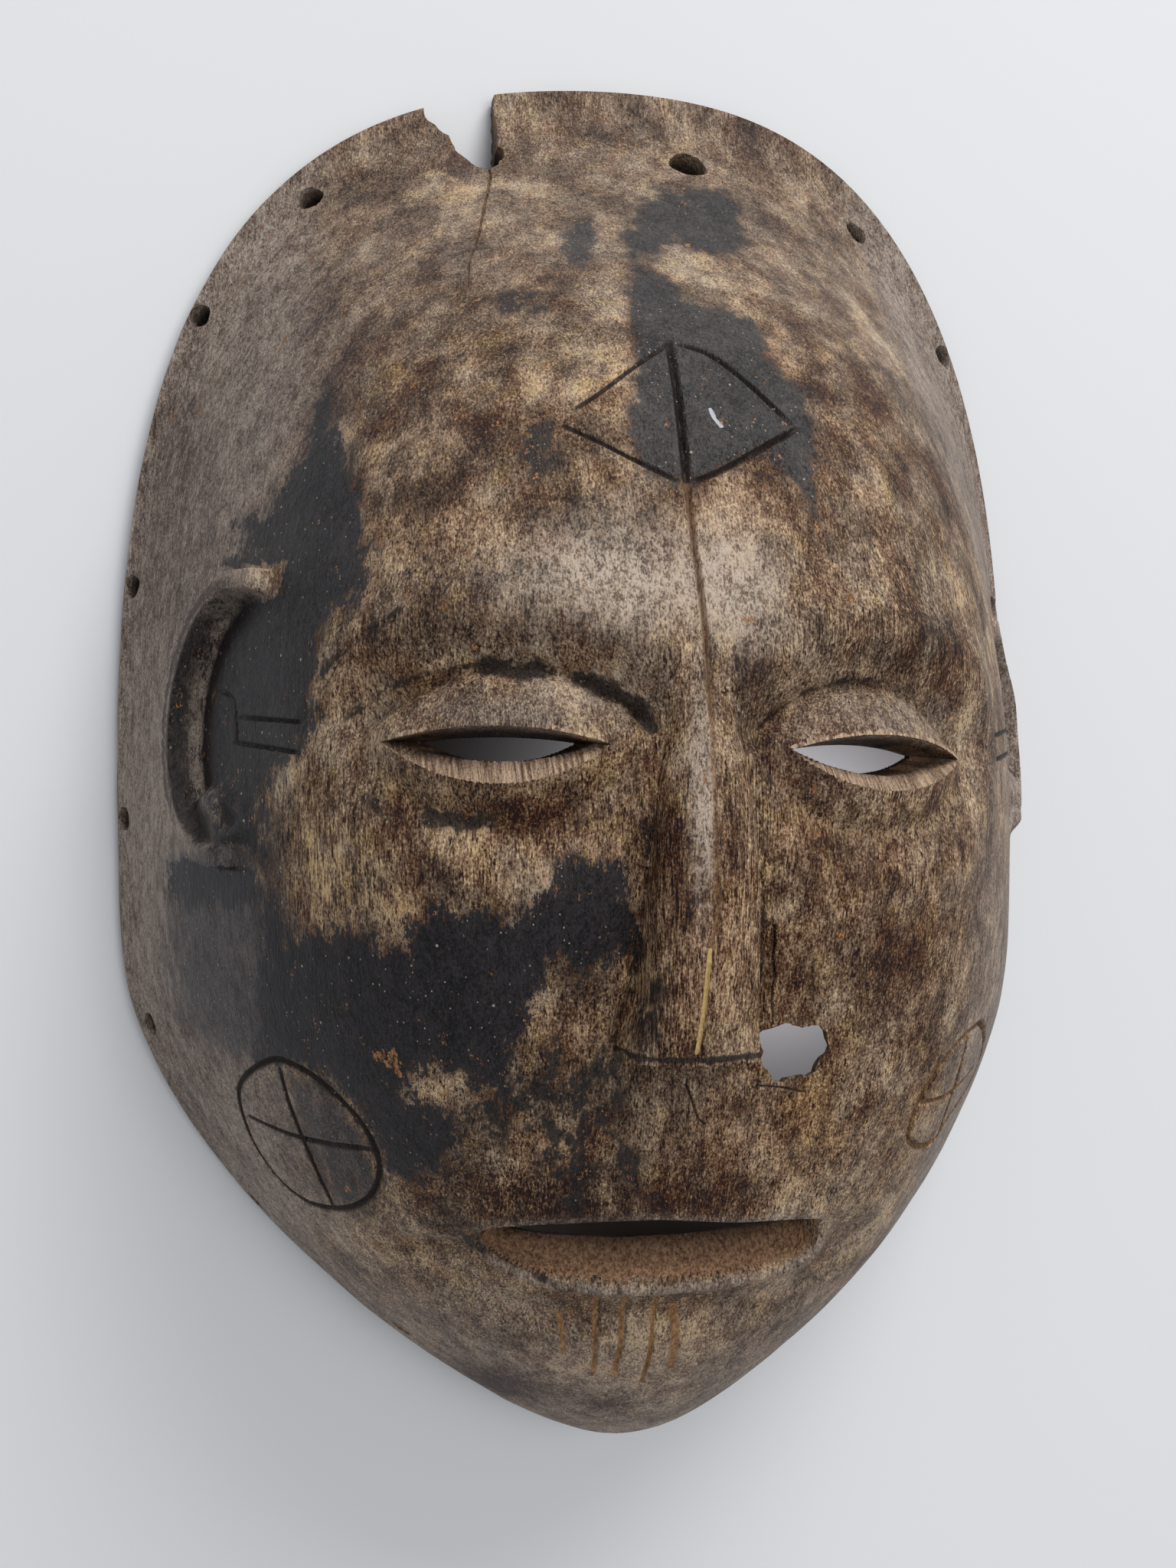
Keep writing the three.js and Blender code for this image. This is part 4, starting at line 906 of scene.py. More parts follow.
CHIPS = [(-43.9, -40.6, 1.3, 0.9, 1.0), (-40.6, -39.7, 1.0, 0.8, 0.9), (-40.9, -43.2, 1.6, 0.8, 1.0), (-50.8, -43.4, 0.7, 0.6, 0.9), (-47.4, -44.3, 0.6, 0.5, 0.9), (-45.7, -38.1, 0.6, 0.5, 0.8), (-22.0, -25.2, 0.7, 0.6, 0.8), (-35.5, -43.7, 1.6, 0.9, 0.9), (-32.2, -43.0, 1.2, 0.8, 0.8), (-34.2, -45.6, 1.5, 0.8, 0.8), (-52.0, -20.4, 0.9, 0.7, 0.7), (-29.0, -33.0, 0.6, 0.6, 0.7), (-48.5, -33.0, 0.7, 0.5, 0.7), (41.4, 21.3, 0.8, 0.5, 0.7)]
WARM = [(0.0, -20.0, 13.0, 20.0, 0.9), (26.0, -30.0, 22.0, 24.0, 0.45), (-8.0, -60.0, 30.0, 9.0, 0.35), (0.0, -90.0, 12.0, 12.0, 0.5), (-28.0, 2.0, 18.0, 9.0, 0.5), (30.0, 0.0, 18.0, 9.0, 0.4), (-30.0, -8.0, 16.0, 5.0, 0.4)]
# where the wood shines: the polish lowers the roughness, and a painted highlight lightens its colour (lower forehead,
# nose ridge, above the left eye)
SHEEN = [(-11.7, 29.5, 15.0, 7.5, 1.0), (5.5, 28.4, 6.0, 8.5, 0.9), (-1.1, -2.0, 1.6, 14.0, 1.1), (-16.0, 13.5, 7.0, 2.4, 0.5)]
FIBRE = [(-20.6, -60.5, 12.0, 5.0, 1.0), (-6.5, -25.0, 3.5, 20.0, 0.9), (7.5, -12.0, 3.5, 22.0, 0.8), (-51.4, -13.4, 7.0, 9.0, 0.7), (0.0, -28.0, 9.0, 10.0, 0.5), (30.0, 22.0, 16.0, 9.0, 0.5), (-28.0, 9.5, 16.0, 2.0, 0.7), (-28.0, 0.5, 14.0, 2.0, 0.7), (30.0, 9.5, 14.0, 2.0, 0.6), (30.0, -1.0, 13.0, 2.0, 0.6)]


def spots(px, py, table):
    out = np.zeros(px.shape)
    for cx, cy, rx, ry, amount in table:
        out += amount * np.exp(-0.9 * (((px - cx) / rx) ** 2 + ((py - cy) / ry) ** 2) ** 1.3)
    return out


nv = len(me.vertices)
co = np.empty(nv * 3, np.float32)
me.vertices.foreach_get("co", co)
co = co.reshape(-1, 3).astype(float) / MM
X, Y, Z = co.T
base_h = front_height(X, Y)
base_n = front_normal(X, Y)
wall_side = (np.abs(X) > 50) & (Z < 62)
onface = np.column_stack([X, Y, base_h])
depth = (base_h - Z) * base_n[:, 2] + relief(onface)
inner = smooth((depth - 2.2) / 1.4)

soot = {}
for name, group in SOOT.items():
    soot[name] = np.max([inside_distance(X, Y, poly) for poly in group], axis=0)
# outside the ear there is none, nor on its raised edge, which is painted pale as a highlight
ed, eq, ew = ear_field(co)
left_ear = wall_side & (X < 0)
ear_on = left_ear & (ew < 9) & (eq < 24) & (eq > -22.6)
t_ = soot["soot_temple"]
t_ = np.where(ear_on & (ed > -EAR["ridge"] - 1.0), np.minimum(t_, -EAR["ridge"] - 0.6 - ed), t_)
t_ = np.where(left_ear & (ew < 9) & (eq >= 18) & (eq < 24), np.minimum(t_, 18.5 - eq), t_)
lobe_pale = left_ear * np.exp(-(((eq + 15.8) / 4.2) ** 2) - ((ew + 2.5) / 5.5) ** 2)
soot["soot_temple"] = np.minimum(t_, np.where(lobe_pale > 0.02, 4.5 * (0.4 - lobe_pale), 9))
# painted highlight: a pale line along the ear's raised outer edge
ear_ridge = left_ear * np.exp(-(((ed - 1.35) / 0.5) ** 2)) * (ew < 5) * (eq > -22)
ear_top = left_ear * smooth((1.5 - np.abs(ed)) / 0.5) * smooth((4 - ew) / 5) * smooth((eq + 17) / 5)
# painted shade: the hollow inside the ear's C painted near black
ear_recess_shade = left_ear * smooth(-(ed + EAR["ridge"] - 0.3) / 1.0) * smooth((ed + 10.0) / 5.0) * smooth((6.0 - ew) / 8)

# dark dirt and painted shade in the creases along the lids, beside and under the nose and under the lip, and pale dust
# lodged along the lids: line, half width, strength
CREASE_DIRT_AND_SHADE = [
    (curve((-48.1, 9.2), (-44.2, 12.4), (-39.5, 14.9), (-35.4, 16.0), (-29.5, 16.8), (-23.8, 16.2), (-16.5, 15.0), (-11.2, 13.2), (-8.0, 9.5), (-6.7, 7.0)), 0.7, 0.62),
    (curve((-29.5, 16.8), (-26.2, 15.6), (-22.6, 16.0)), 1.5, 1.0),
    (curve((-16.8, 14.9), (-13.7, 13.4), (-11.2, 12.6), (-8.0, 10.0), (-6.7, 7.9)), 1.3, 1.0),
    (curve((-36.6, -4.6), (-33.0, -5.6), (-29.0, -5.0)), 1.5, 0.9),
    (curve((-47.5, -0.4), (-44.2, -2.8), (-37.1, -6.4), (-31.5, -7.1), (-25.5, -6.6), (-18.7, -5.5), (-14.1, -3.9), (-9.2, 1.7)), 0.7, 0.35),
    (curve((8.4, 5.5), (9.7, 8.5), (12.9, 11.0), (16.1, 13.0), (21.7, 14.8), (27.6, 15.4)), 0.55, 0.62),
    (curve((27.6, 15.4), (34.0, 14.5), (41.4, 11.8), (45.8, 8.7)), 0.5, 0.3),
    (curve((8.4, 5.5), (9.3, 2.0), (13.1, -2.0)), 0.5, 0.55),
    # painted shadow: the dark line under the nose's end
    (run((-10.0, -38.5), (0.0, -38.7), (10.6, -38.5)), 0.5, 1.0),
    (curve((8.4, -2.0), (9.9, -16.0), (10.7, -30.0), (11.2, -37.6)), 0.5, 0.6),
    (curve((-31.0, -70.4), (-28.4, -71.6), (-23.9, -73.3), (-18.2, -76.2), (-14.1, -79.3)), 1.1, 0.5),
    (curve((-7.4, -6.0), (-7.9, -16.0), (-8.2, -26.0), (-10.6, -37.0)), 0.8, 0.5),
    (curve((-5.6, -26.0), (-6.6, -31.0), (-7.6, -37.0)), 1.3, 0.62),
    (curve((-55.2, 7.4), (-53.8, 12.5), (-50.4, 17.5), (-46.4, 21.2), (-41.8, 24.4)), 0.8, 0.6),
    (curve((-48.6, 3.0), (-46.6, -3.0), (-41.0, -6.4)), 0.6, 0.3),
    (run((-8.2, 33.0), (-6.0, 31.0)), 0.6, 0.3),
]
DUSTY = [
    (curve((13.1, -2.0), (18.7, -5.0), (24.3, -6.6), (30.3, -7.2), (36.8, -6.4), (44.5, -1.9)), 1.0, 0.7),
    (curve((-44.3, 1.2), (-37.0, -0.9), (-30.0, -1.3), (-23.0, 0.2), (-15.0, 3.6)), 1.0, 0.5),
    (curve((14.0, 11.9), (17.5, 13.2), (20.5, 14.2)), 0.9, 0.6),
    (curve((-43.5, 5.4), (-46.5, 5.2)), 1.0, 0.6),
    (curve((45.5, 3.4), (48.0, 3.2)), 1.0, 0.5),
    (curve((-61.9, -10.5), (-62.4, -5.0), (-61.0, 0.5)), 1.2, 0.5),
]
flat = np.column_stack([X, Y, np.zeros(nv)])


def along_lines(table):
    out = np.zeros(nv)
    for path, half, strength in table:
        dist, _ = path_distance(flat, np.column_stack([path, np.zeros(len(path))]), half * 2.2 + 0.5)
        out = np.maximum(out, strength * np.exp(-np.minimum((dist / half) ** 2, 30)))
    return out * (1 - inner)


crease_shade_and_dirt = along_lines(CREASE_DIRT_AND_SHADE)
pale = along_lines(DUSTY)

line_dark, line_tan, line_fresh, line_gold = np.zeros(nv), np.zeros(nv), np.zeros(nv), np.zeros(nv)
for name, path, half, dpt, kind in PATHS:
    dist, along = line_distance(onface, name, path, half * 2 + 1.0)
    k = np.clip(1.15 - dist / half, 0, 1)
    if kind == "dark":
        line_dark = np.maximum(line_dark, k)
    elif kind == "brown":
        line_tan = np.maximum(line_tan, 0.9 * k)
        line_dark = np.maximum(line_dark, 0.35 * k)
    elif kind == "crack":
        line_dark = np.maximum(line_dark, 0.6 * np.clip(1.3 - dist / half, 0, 1))
        if name == "crack_top":
            line_dark = np.where(k > 0, np.minimum(line_dark, 0.34), line_dark)
            line_tan = np.maximum(line_tan, 0.9 * k)
    elif kind == "scratch":
        line_dark = np.maximum(line_dark, 0.3 * k)
    elif kind == "ring":
        line_gold = np.maximum(line_gold, 0.5 * k)
        line_dark = np.maximum(line_dark, 1.1 * np.clip(0.8 - dist / half, 0, 1))
    elif kind in ("tan", "worn"):
        line_tan = np.maximum(line_tan, 0.8 * k)
    elif kind == "chin":
        line_gold = np.maximum(line_gold, k)
    elif kind == "fleck":
        fleck = np.clip(1.15 - dist / half, 0, 1)
    elif kind == "fresh":
        line_fresh = np.maximum(line_fresh, k)
line_dark *= 1 - inner
line_tan *= 1 - inner

side = smooth((62 - base_h) / 26) * (0.25 + 0.75 * smooth((np.abs(X) - 44) / 14))
lip_s, lip_b = mouth_field(X, Y)
lip_rim = (np.exp(-(((lip_s - 0.9) / 1.0) ** 2)) * smooth((-lip_b - 2) / 3) + 0.8 * np.exp(-(((lip_s - 0.4) / 0.5) ** 2)) * (lip_b > 0)) * (depth < 1)
grey = np.clip(0.75 * lip_rim + side * 0.95 + 0.3 * smooth((-80 - Y) / 14) + 0.5 * spots(X, Y, [(-27.0, 9.5, 15.0, 3.4, 1.0), (29.0, 9.8, 14.0, 3.2, 1.0)]) + 0.5 * smooth((X - 42) / 12) * smooth((10 - Y) / 60 + 0.4), 0, 1)
FIELDS = {
    "soot_fore": np.clip(soot["soot_fore"], -6, 6),
    "soot_thin": np.clip(soot["soot_thin"], -6, 6),
    "soot_temple": np.clip(soot["soot_temple"], -6, 6),
    "soot_cheek": np.clip(soot["soot_cheek"], -6, 6),
    "soot_film": np.clip(soot["soot_film"], -6, 6),
    "ear_recess_shade": ear_recess_shade,
    "ear_ridge": ear_ridge,
    "ear_top": ear_top,
    "shade_and_dirt_in_creases": np.clip(crease_shade_and_dirt, 0, 1),
    "pale": np.clip(pale, 0, 1),
    "tone": np.clip(spots(X, Y, TONE), -2.6, 2),
    "warm": np.clip(spots(X, Y, WARM), 0, 1),
    "red": np.clip(spots(X, Y, RED), 0, 1),
    "gold": np.clip(spots(X, Y, GOLD), 0, 1.5),
    "sheen": np.clip(spots(X, Y, SHEEN) * (Z > 60), 0, 1),
    "fibre": np.clip(spots(X, Y, FIBRE), 0, 1) * (1 - lip_rim),
    "grey": grey,
    "calm_top": smooth((Y - 22) / 26) * (1 - inner),
    "chips": np.clip(spots(X, Y, CHIPS), 0, 1),
    "inner": inner,
    "deep": np.where(mouth_field(X, Y)[0] < 1, smooth((depth - 3.5) / 4.5), smooth((depth - 1.2) / 3.5)),
    "line_dark": line_dark,
    "line_tan": line_tan,
    "line_fresh": line_fresh,
    "line_gold": line_gold,
    "fleck": fleck,
}
# painted shade inside the cord holes and the top holes, darker with depth
in_hole = np.min([np.linalg.norm(co - p, axis=1) for p in HOLES], axis=0) < 8
FIELDS["deep"] = np.where(in_hole, np.maximum(FIELDS["deep"], 0.96 * smooth((depth - 0.3) / 1.6)), FIELDS["deep"])
for name, values in FIELDS.items():
    a = me.attributes.new(name, "FLOAT", "POINT")
    a.data.foreach_set("value", np.asarray(values, np.float32))

# faces made by the openings
nf = len(me.polygons)
centre = np.empty(nf * 3, np.float32)
me.polygons.foreach_get("center", centre)
centre = centre.reshape(-1, 3).astype(float) / MM
fn = np.empty(nf * 3, np.float32)
me.polygons.foreach_get("normal", fn)
fn = fn.reshape(-1, 3)
fx, fy, fz = centre.T
f_h = front_height(fx, fy)
f_n = front_normal(fx, fy)
f_depth = (f_h - fz) * f_n[:, 2]
turned = np.einsum("ij,ij->i", fn, f_n) < 0.78
in_eye = np.minimum(lens(SLITS[0], fx, fy)[0], lens(SLITS[1], fx, fy)[0]) < 0.5
in_mouth = mouth_field(fx, fy)[0] < 0.25
near_break = np.hypot(fx - BREAK["x"], fy - BREAK["y"]) < 8.5
near_notch = (fx > -33) & (fx < -16) & (fy > 105)
eye_low = in_eye & (fn[:, 1] > 0.15) & (fn[:, 2] > 0.05)
faces = {
    "cut_eye": eye_low & (f_depth > 0.2),
    "cut_mouth": in_mouth & (fn[:, 2] > 0.05) & (fn[:, 1] > 0.1) & (f_depth > 0.2),
    "cut_raw": (near_break | near_notch) & turned & (f_depth > 0.15) & (f_depth < 5.5),
}
for name, values in faces.items():
    a = me.attributes.new(name, "FLOAT", "FACE")
    a.data.foreach_set("value", values.astype(np.float32))

me.polygons.foreach_set("use_smooth", np.ones(nf, bool))
me.set_sharp_from_angle(angle=math.radians(42))

# the middle of the box is the origin
mask.location = (-ORIGIN[0] * MM, -ORIGIN[1] * MM, 0)


# ------------------------------------------------------------------ wood
def srgb(r, g, b):
    return tuple((c / 255 / 12.92 if c / 255 <= 0.04045 else ((c / 255 + 0.055) / 1.055) ** 2.4) for c in (r, g, b)) + (1.0,)


class Graph:
    def __init__(self, material):
        material.use_nodes = True
        self.t = material.node_tree
        self.n = self.t.nodes
        self.bsdf = self.n["Principled BSDF"]

    def put(self, socket, value):
        if hasattr(value, "is_output") or isinstance(value, bpy.types.NodeSocket):
            self.t.links.new(value, socket)
        else:
            socket.default_value = value

    def attr(self, name):
        a = self.n.new("ShaderNodeAttribute")
        a.attribute_name = name
        return a.outputs["Fac"]

    def math(self, op, a, b=0.0, c=0.0, clamp=False):
        m = self.n.new("ShaderNodeMath")
        m.operation = op
        m.use_clamp = clamp
        for k, v in enumerate((a, b, c)):
            self.put(m.inputs[k], v)
        return m.outputs[0]

    def add(self, *v):
        out = v[0]
        for w in v[1:]:
            out = self.math("ADD", out, w)
        return out

    def mul(self, *v):
        out = v[0]
        for w in v[1:]:
            out = self.math("MULTIPLY", out, w)
        return out

    def step(self, x, lo, hi, out_lo=0.0, out_hi=1.0):
        m = self.n.new("ShaderNodeMapRange")
        m.interpolation_type = "SMOOTHSTEP"
        for k, v in zip(("Value", "From Min", "From Max", "To Min", "To Max"), (x, lo, hi, out_lo, out_hi)):
            self.put(m.inputs[k], v)
        return m.outputs["Result"]

    def mix(self, f, a, b, kind="MIX"):
        m = self.n.new("ShaderNodeMix")
        m.data_type = "RGBA"
        m.blend_type = kind
        m.clamp_factor = True
        self.put(m.inputs[0], f)
        self.put(m.inputs[6], a)
        self.put(m.inputs[7], b)
        return m.outputs[2]

    def coords(self, scale):
        if not hasattr(self, "_tc"):
            self._tc = self.n.new("ShaderNodeTexCoord").outputs["Object"]
        m = self.n.new("ShaderNodeMapping")
        m.inputs["Scale"].default_value = scale
        self.t.links.new(self._tc, m.inputs["Vector"])
        return m.outputs[0]

    def noise(self, size, detail=3.0, rough=0.55, shift=0.0, distort=0.0):
        """Noise with features of the given size in mm along x, y, z, spread about 0."""
        if not isinstance(size, tuple):
            size = (size, size, size)
        t = self.n.new("ShaderNodeTexNoise")
        t.noise_dimensions = "4D"
        t.inputs["W"].default_value = shift
        t.inputs["Scale"].default_value = 1.0
        t.inputs["Detail"].default_value = detail
        t.inputs["Roughness"].default_value = rough
        t.inputs["Distortion"].default_value = distort
        self.t.links.new(self.coords(tuple(1000.0 / c for c in size)), t.inputs["Vector"])
        return self.math("MULTIPLY_ADD", t.outputs["Fac"], 2.0, -1.0)

    def ramp(self, x, *stops):
        r = self.n.new("ShaderNodeValToRGB")
        e = r.color_ramp.elements
        while len(e) < len(stops):
            e.new(0.5)
        for k, (at, colour) in enumerate(stops):
            e[k].position = at
            e[k].color = colour
        self.put(r.inputs[0], x)
        return r.outputs[0]

    def specks(self, size, radius, keep):
        v = self.n.new("ShaderNodeTexVoronoi")
        v.inputs["Scale"].default_value = 1.0
        v.inputs["Randomness"].default_value = 1.0
        self.t.links.new(self.coords(tuple(1000.0 / c for c in size)), v.inputs["Vector"])
        sep = self.n.new("ShaderNodeSeparateColor")
        self.t.links.new(v.outputs["Color"], sep.inputs[0])
        near = self.step(v.outputs["Distance"], radius, radius * 0.4)
        return self.mul(near, self.math("LESS_THAN", sep.outputs[0], keep))


wood = bpy.data.materials.new("wood")
g = Graph(wood)
broad = g.noise((11.0, 13.0, 11.0), 2.0, 0.6, 4.0)
middle = g.noise((2.4, 5.0, 2.4), 3.0, 0.62, 5.0)
grain = g.noise((0.7, 1.8, 0.7), 2.0, 0.6, 3.0)
fine = g.noise((0.3, 0.5, 0.3), 2.0, 0.7, 2.0)
streak = g.noise((0.3, 3.6, 0.45), 2.0, 0.6, 1.0)
long_streak = g.noise((1.1, 22.0, 1.8), 1.0, 0.6, 6.0)
ragged = g.noise((3.0, 4.6, 3.0), 4.0, 0.72, 7.0)
fibre_a, inner_a, grey_a, tone_a = g.attr("fibre"), g.attr("inner"), g.attr("grey"), g.attr("tone")

# colours below are given as they look in this light: surface() takes off the gloss and the light
HAZE, LIGHT = (0.012, 0.014, 0.018), 1.05


def surface(r, g, b):
    return tuple(max((c - h) / LIGHT, 0.002) for c, h in zip(srgb(r, g, b), HAZE)) + (1.0,)


# old wood: one tone from many sizes of grain, the colour follows the tone
SPREAD = 0.17
pit = g.step(g.noise((0.42, 2.4, 0.5), 2.0, 0.6, 11.0), -0.14, -0.36)
calm_top = g.attr("calm_top")
patches = g.noise((6.5, 8.0, 6.5), 1.0, 0.6, 18.0)
texture = g.add(
    g.mul(broad, g.math("MULTIPLY_ADD", calm_top, 0.6, 3.6)),
    g.mul(patches, calm_top, 2.2),
    g.mul(middle, g.math("MULTIPLY_ADD", calm_top, -1.0, 3.4)),
    g.mul(grain, g.math("MULTIPLY_ADD", calm_top, 0.2, 1.6)),
    g.mul(fine, g.math("MULTIPLY_ADD", calm_top, -1.0, 5.4)),
    g.mul(streak, g.math("MULTIPLY_ADD", fibre_a, 3.5, 3.0)),
    g.mul(pit, g.math("MULTIPLY_ADD", calm_top, 2.0, -3.4)),
    g.math("MULTIPLY_ADD", calm_top, -0.3, 0.1),
)
tone = g.math("MULTIPLY_ADD", g.add(texture, tone_a), SPREAD, 0.5)
at = lambda z: 0.5 + SPREAD * z


def stops(*rows):
    return [(at(z), surface(*rgb)) for z, rgb in rows]


brown = g.ramp(tone, *stops((-2.8, (44, 32, 28)), (-2.2, (62, 50, 44)), (-1.4, (81, 67, 58)), (-0.67, (98, 81, 69)), (0, (115, 98, 85)), (0.67, (137, 118, 102)), (1.4, (155, 136, 117)), (2.2, (176, 157, 134)), (2.8, (196, 178, 154))))
warm = g.ramp(tone, *stops((-2.8, (40, 20, 12)), (-2.2, (62, 36, 22)), (-1.4, (82, 54, 38)), (-0.67, (97, 73, 57)), (0, (116, 92, 74)), (0.67, (140, 114, 94)), (1.4, (160, 134, 110)), (2.2, (188, 160, 128)), (2.8, (214, 188, 150))))
hue = g.noise((7.0, 10.0, 7.0), 1.0, 0.6, 12.0)
col = g.mix(g.add(g.attr("warm"), g.step(g.add(hue, g.mul(middle, 0.4)), -0.15, 0.25, 0.0, 0.85)), brown, warm)
# reddish and golden wood
ruddy = g.step(g.add(g.noise((5.0, 9.0, 5.0), 2.0, 0.7, 15.0), g.mul(streak, 0.3)), 0.04, 0.34, 0.0, 0.36)
col = g.mix(ruddy, col, g.ramp(tone, *stops((-2.2, (58, 30, 20)), (0, (116, 82, 62)), (2.2, (186, 148, 116)))))
ochre = g.step(g.add(g.noise((4.0, 6.0, 4.0), 2.0, 0.7, 16.0), g.mul(fine, 0.3)), 0.1, 0.3, 0.0, 0.5)
col = g.mix(ochre, col, g.ramp(tone, *stops((-2.2, (66, 46, 26)), (0, (128, 104, 72)), (2.2, (204, 178, 130)))))
patchy = g.step(g.add(grain, g.mul(middle, 0.8)), -0.4, 0.3)
col = g.mix(g.mul(g.attr("red"), patchy, 0.5), col, g.ramp(tone, *stops((-2.2, (48, 26, 18)), (0, (118, 84, 68)), (2.2, (196, 158, 128)))))
col = g.mix(g.mul(g.attr("gold"), patchy, 0.8), col, g.ramp(tone, *stops((-2.2, (78, 48, 26)), (0, (140, 100, 62)), (2.2, (208, 172, 118)))))
# the sides and the chin: even greyish brown, faint long streaks
side_tone = g.math("MULTIPLY_ADD", g.add(g.mul(long_streak, 0.5), g.mul(broad, 1.0), g.mul(middle, 2.2), g.mul(grain, 3.2), g.mul(fine, 5.0), g.mul(tone_a, 0.8)), SPREAD, 0.5)
side_col = g.ramp(side_tone, *stops((-2.2, (78, 68, 65)), (-1.4, (101, 89, 84)), (-0.67, (119, 106, 99)), (0, (137, 123, 114)), (0.67, (152, 139, 129)), (1.4, (165, 152, 141)), (2.2, (180, 168, 156))))
col = g.mix(g.mul(grey_a, g.step(g.add(middle, g.mul(grain, 0.5)), -0.9, 0.1, 0.6, 1.0)), col, side_col)
# polished by handling: a painted highlight, a paler colour where the polish shines; the roughness drops there too
sheen_a = g.attr("sheen")
col = g.mix(g.mul(sheen_a, g.step(g.add(grain, fine, g.mul(middle, 0.5)), -0.35, 0.3, 0.15, 0.9)), col, srgb(190, 173, 157))
# pale deposits in the hollows
col = g.mix(g.mul(g.attr("pale"), g.step(g.add(grain, fine), -0.3, 0.3)), col, srgb(172, 146, 114))
col = g.mix(g.mul(g.attr("ear_top"), g.step(g.add(middle, grain), -0.6, 0.3, 0.45, 0.9)), col, g.mix(g.step(g.add(grain, fine), -0.4, 0.5), srgb(48, 38, 36), srgb(84, 68, 62)))
# painted highlight along the ear's raised edge
col = g.mix(g.mul(g.attr("ear_ridge"), g.step(g.add(grain, fine), -0.5, 0.3)), col, srgb(158, 140, 124))
# dirt and painted shade in the creases, with the painted shadow line under the nose
shaded_dirty_creases = g.step(g.add(g.attr("shade_and_dirt_in_creases"), g.mul(ragged, 1.3), g.mul(grain, 0.4), g.mul(fine, 0.3)), 0.3, 0.66)
col = g.mix(g.mul(shaded_dirty_creases, 0.92), col, g.mix(g.step(fine, -0.3, 0.5), srgb(22, 17, 17), srgb(48, 38, 34)))


# soot with ragged edges, each patch its own black
def soot_layer(name, reach, soft, shade, strength, thin=0.0):
    e = g.add(g.attr(name), g.mul(ragged, reach), g.mul(grain, reach * 0.5), g.mul(fine, reach * 0.6), g.mul(streak, reach * 0.5))
    k = g.step(e, -soft, soft)
    if thin:
        k = g.mul(k, g.step(g.add(g.mul(ragged, 1.0), g.mul(middle, 0.5), g.mul(grain, 0.3), g.mul(fine, 0.25)), -thin, thin))
    return g.mul(k, strength), shade


black_tone = g.step(g.add(g.mul(broad, 0.8), g.mul(middle, 0.9), g.mul(grain, 1.6), g.mul(fine, 2.6)), -1.1, 1.1)
shades = lambda lo, hi: g.mix(black_tone, surface(*lo), surface(*hi))
layers = [
    soot_layer("soot_film", 9.0, 3.0, shades((44, 43, 47), (78, 78, 84)), 0.85),
    soot_layer("soot_fore", 4.5, 0.5, shades((20, 18, 20), (74, 72, 74)), 0.96),
    soot_layer("soot_thin", 6.0, 0.8, shades((18, 15, 17), (62, 57, 58)), 0.97, thin=0.09),
    soot_layer("soot_temple", 5.5, 0.5, shades((14, 13, 17), (58, 58, 64)), 0.97),
    soot_layer("soot_cheek", 6.5, 0.5, shades((3, 3, 6), (52, 51, 58)), 0.98),
]
sooty = 0.0
for k, shade in layers:
    col = g.mix(k, col, shade)
    sooty = g.math("MAXIMUM", sooty, k)
# painted shade in the hollow inside the ear
col = g.mix(g.mul(g.attr("ear_recess_shade"), 0.9), col, g.mix(g.step(grain, -0.4, 0.5), srgb(12, 10, 11), srgb(40, 33, 32)))
# cut lines
col = g.mix(g.mul(g.attr("line_tan"), 0.85), col, g.mix(g.step(grain, -0.3, 0.5), srgb(92, 64, 44), srgb(158, 120, 84)))
col = g.mix(g.mul(g.step(g.add(g.attr("line_dark"), g.mul(grain, 0.2)), 0.12, 0.6), 0.93), col, g.mix(g.step(grain, 0.1, 0.9), srgb(26, 18, 16), srgb(92, 66, 46)))
col = g.mix(g.mul(g.step(g.add(g.attr("line_gold"), g.mul(grain, 0.4)), 0.1, 0.7), 0.85), col, g.mix(g.step(grain, -0.3, 0.5), srgb(112, 76, 44), srgb(176, 130, 80)))
col = g.mix(g.step(g.attr("line_fresh"), 0.15, 0.6), col, srgb(196, 166, 112))
col = g.mix(g.step(g.add(g.attr("fleck"), g.mul(grain, 0.5)), 0.25, 0.5), col, srgb(176, 178, 184))
# openings: light end grain at the front edge; further in, painted shade that darkens with depth
deep = g.attr("deep")
end_grain = g.step(g.add(g.noise((0.5, 12.0, 12.0), 3.0, 0.7, 8.0), g.mul(fine, 0.4)), -0.4, 0.4)
col = g.mix(g.attr("cut_eye"), col, g.mix(end_grain, srgb(92, 68, 54), srgb(204, 176, 148)))
col = g.mix(g.attr("cut_mouth"), col, g.mix(g.step(g.add(streak, grain), -0.6, 0.6), srgb(96, 66, 48), srgb(178, 140, 108)))
col = g.mix(g.attr("cut_raw"), col, g.mix(g.step(g.add(streak, grain), -0.6, 0.6), srgb(84, 60, 46), srgb(150, 120, 92)))
col = g.mix(g.mul(deep, 0.9), col, g.mix(g.step(middle, -0.5, 0.6), srgb(26, 19, 16), srgb(52, 38, 30)))
# inside: plain brown, darkened by use
col = g.mix(g.math("GREATER_THAN", deep, 0.999), col, g.mix(g.step(g.add(g.mul(long_streak, 0.6), g.mul(broad, 0.6), g.mul(middle, 0.4)), -0.6, 0.7), srgb(58, 43, 34), srgb(112, 84, 62)))
# chips in the soot down to the bare wood, each with its own size
chip_a = g.step(g.add(g.attr("chips"), g.mul(ragged, 2.0), g.mul(fine, 0.6)), 0.55, 0.8)
col = g.mix(g.mul(chip_a, 0.9), col, g.mix(g.step(g.add(grain, fine), -0.4, 0.4), srgb(96, 62, 38), srgb(176, 122, 78)))
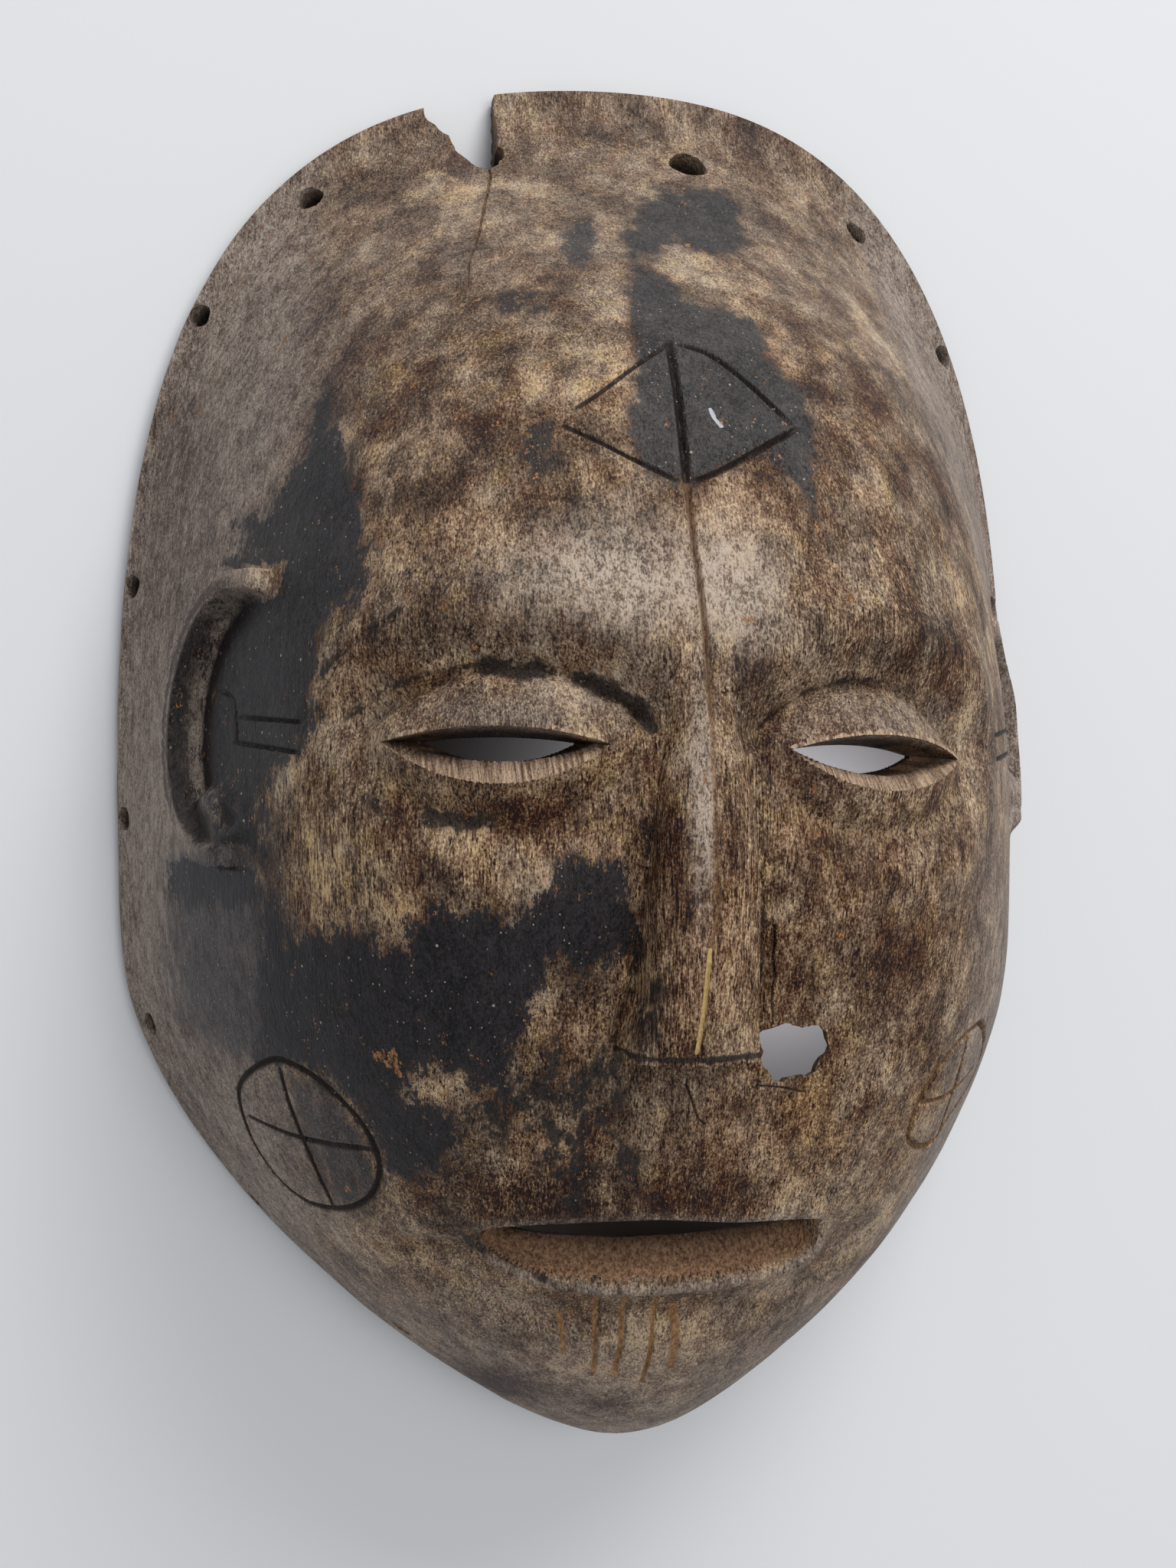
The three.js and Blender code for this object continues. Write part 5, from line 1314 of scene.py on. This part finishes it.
# loose pale specks
speck = g.math("MAXIMUM", g.specks((0.9, 1.2, 0.9), 0.17, 0.3), g.specks((2.9, 3.4, 2.9), 0.09, 0.5))
col = g.mix(g.mul(speck, g.math("MULTIPLY_ADD", sooty, 0.35, 0.25)), col, srgb(200, 190, 174))
g.put(g.bsdf.inputs["Base Color"], col)

rough = g.add(0.62, g.mul(sooty, -0.14), g.mul(sheen_a, -0.22), g.mul(grain, 0.1), g.mul(fine, 0.1))
g.put(g.bsdf.inputs["Roughness"], g.math("MINIMUM", g.math("MAXIMUM", rough, 0.3), 0.95))
g.bsdf.inputs["Specular IOR Level"].default_value = 0.25

calm = g.math("MULTIPLY_ADD", sooty, -0.55, 1.0)
height = g.add(
    g.mul(grain, calm, 0.55),
    g.mul(fine, calm, 0.45),
    g.mul(pit, -0.25),
    g.mul(streak, g.math("MULTIPLY_ADD", fibre_a, 1.4, 0.35)),
    g.mul(middle, 0.45),
)
bump = g.n.new("ShaderNodeBump")
bump.inputs["Strength"].default_value = 1.0
bump.inputs["Distance"].default_value = 0.00024
g.put(bump.inputs["Height"], height)
g.put(g.bsdf.inputs["Normal"], bump.outputs[0])
me.materials.clear()
me.materials.append(wood)

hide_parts("mask")
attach(mask, "root")

# ------------------------------------------------------------------ floor, light, camera
floor_me = bpy.data.meshes.new("floor")
floor_me.from_pydata([(-3, -3, 0), (3, -3, 0), (3, 3, 0), (-3, 3, 0)], [], [(0, 1, 2, 3)])
floor = bpy.data.objects.new("floor", floor_me)
bpy.context.scene.collection.objects.link(floor)
pale = bpy.data.materials.new("pale_floor")
pale.use_nodes = True
fb = pale.node_tree.nodes["Principled BSDF"]
fb.inputs["Base Color"].default_value = (0.78, 0.79, 0.81, 1)
fb.inputs["Roughness"].default_value = 0.95
fb.inputs["Specular IOR Level"].default_value = 0.1
floor_me.materials.append(pale)

world = bpy.data.worlds.new("soft")
world.use_nodes = True
world.node_tree.nodes["Background"].inputs["Color"].default_value = (0.93, 0.96, 1.0, 1)
world.node_tree.nodes["Background"].inputs["Strength"].default_value = 0.43
bpy.context.scene.world = world


def area(name, where, look, size, power, color):
    L = bpy.data.lights.new(name, "AREA")
    L.shape = "RECTANGLE"
    L.size, L.size_y = size
    L.energy = power
    L.color = color
    o = bpy.data.objects.new(name, L)
    o.location = where
    o.rotation_euler = (Vector(look) - Vector(where)).to_track_quat("-Z", "Y").to_euler()
    bpy.context.scene.collection.objects.link(o)
    return o


area("window", (0.55, 1.45, 0.95), (0, 0, 0.03), (1.0, 0.9), 22.0, (1.0, 0.99, 0.97))
area("overhead", (0.3, 0.1, 1.15), (0, 0, 0.08), (0.55, 0.55), 3.5, (1.0, 0.99, 0.98))
# daylight that finds its way under the bowl
fill = area("under", (0.034, -0.022, 0.046), (0.036, -0.022, 0.0), (0.02, 0.03), 0.010, (1.0, 0.97, 0.98))
fill.visible_camera = False
fill.data.spread = math.radians(112)

# camera at the photograph's own viewing angle
CAM_AT = (-66.1, 8.5, 326.2)
CAM_RIGHT = (0.97912, 0.00833, 0.20311)
CAM_UP = (-0.00123, 0.99939, -0.03504)
CAM_FORWARD = (0.20328, -0.03405, -0.97853)
cam_data = bpy.data.cameras.new("camera")
cam = bpy.data.objects.new("camera", cam_data)
bpy.context.scene.collection.objects.link(cam)
cam_data.sensor_fit = "HORIZONTAL"
cam_data.sensor_width = 36.0
cam_data.lens = 2300.0 / 1536.0 * 36.0
cam_data.clip_start = 0.01
R = Matrix((CAM_RIGHT, CAM_UP, [-c for c in CAM_FORWARD])).transposed().to_4x4()
cam.matrix_world = Matrix.Translation(((CAM_AT[0] - ORIGIN[0]) * MM, (CAM_AT[1] - ORIGIN[1]) * MM, CAM_AT[2] * MM)) @ R
bpy.context.scene.camera = cam
bpy.context.scene.view_settings.view_transform = "Standard"
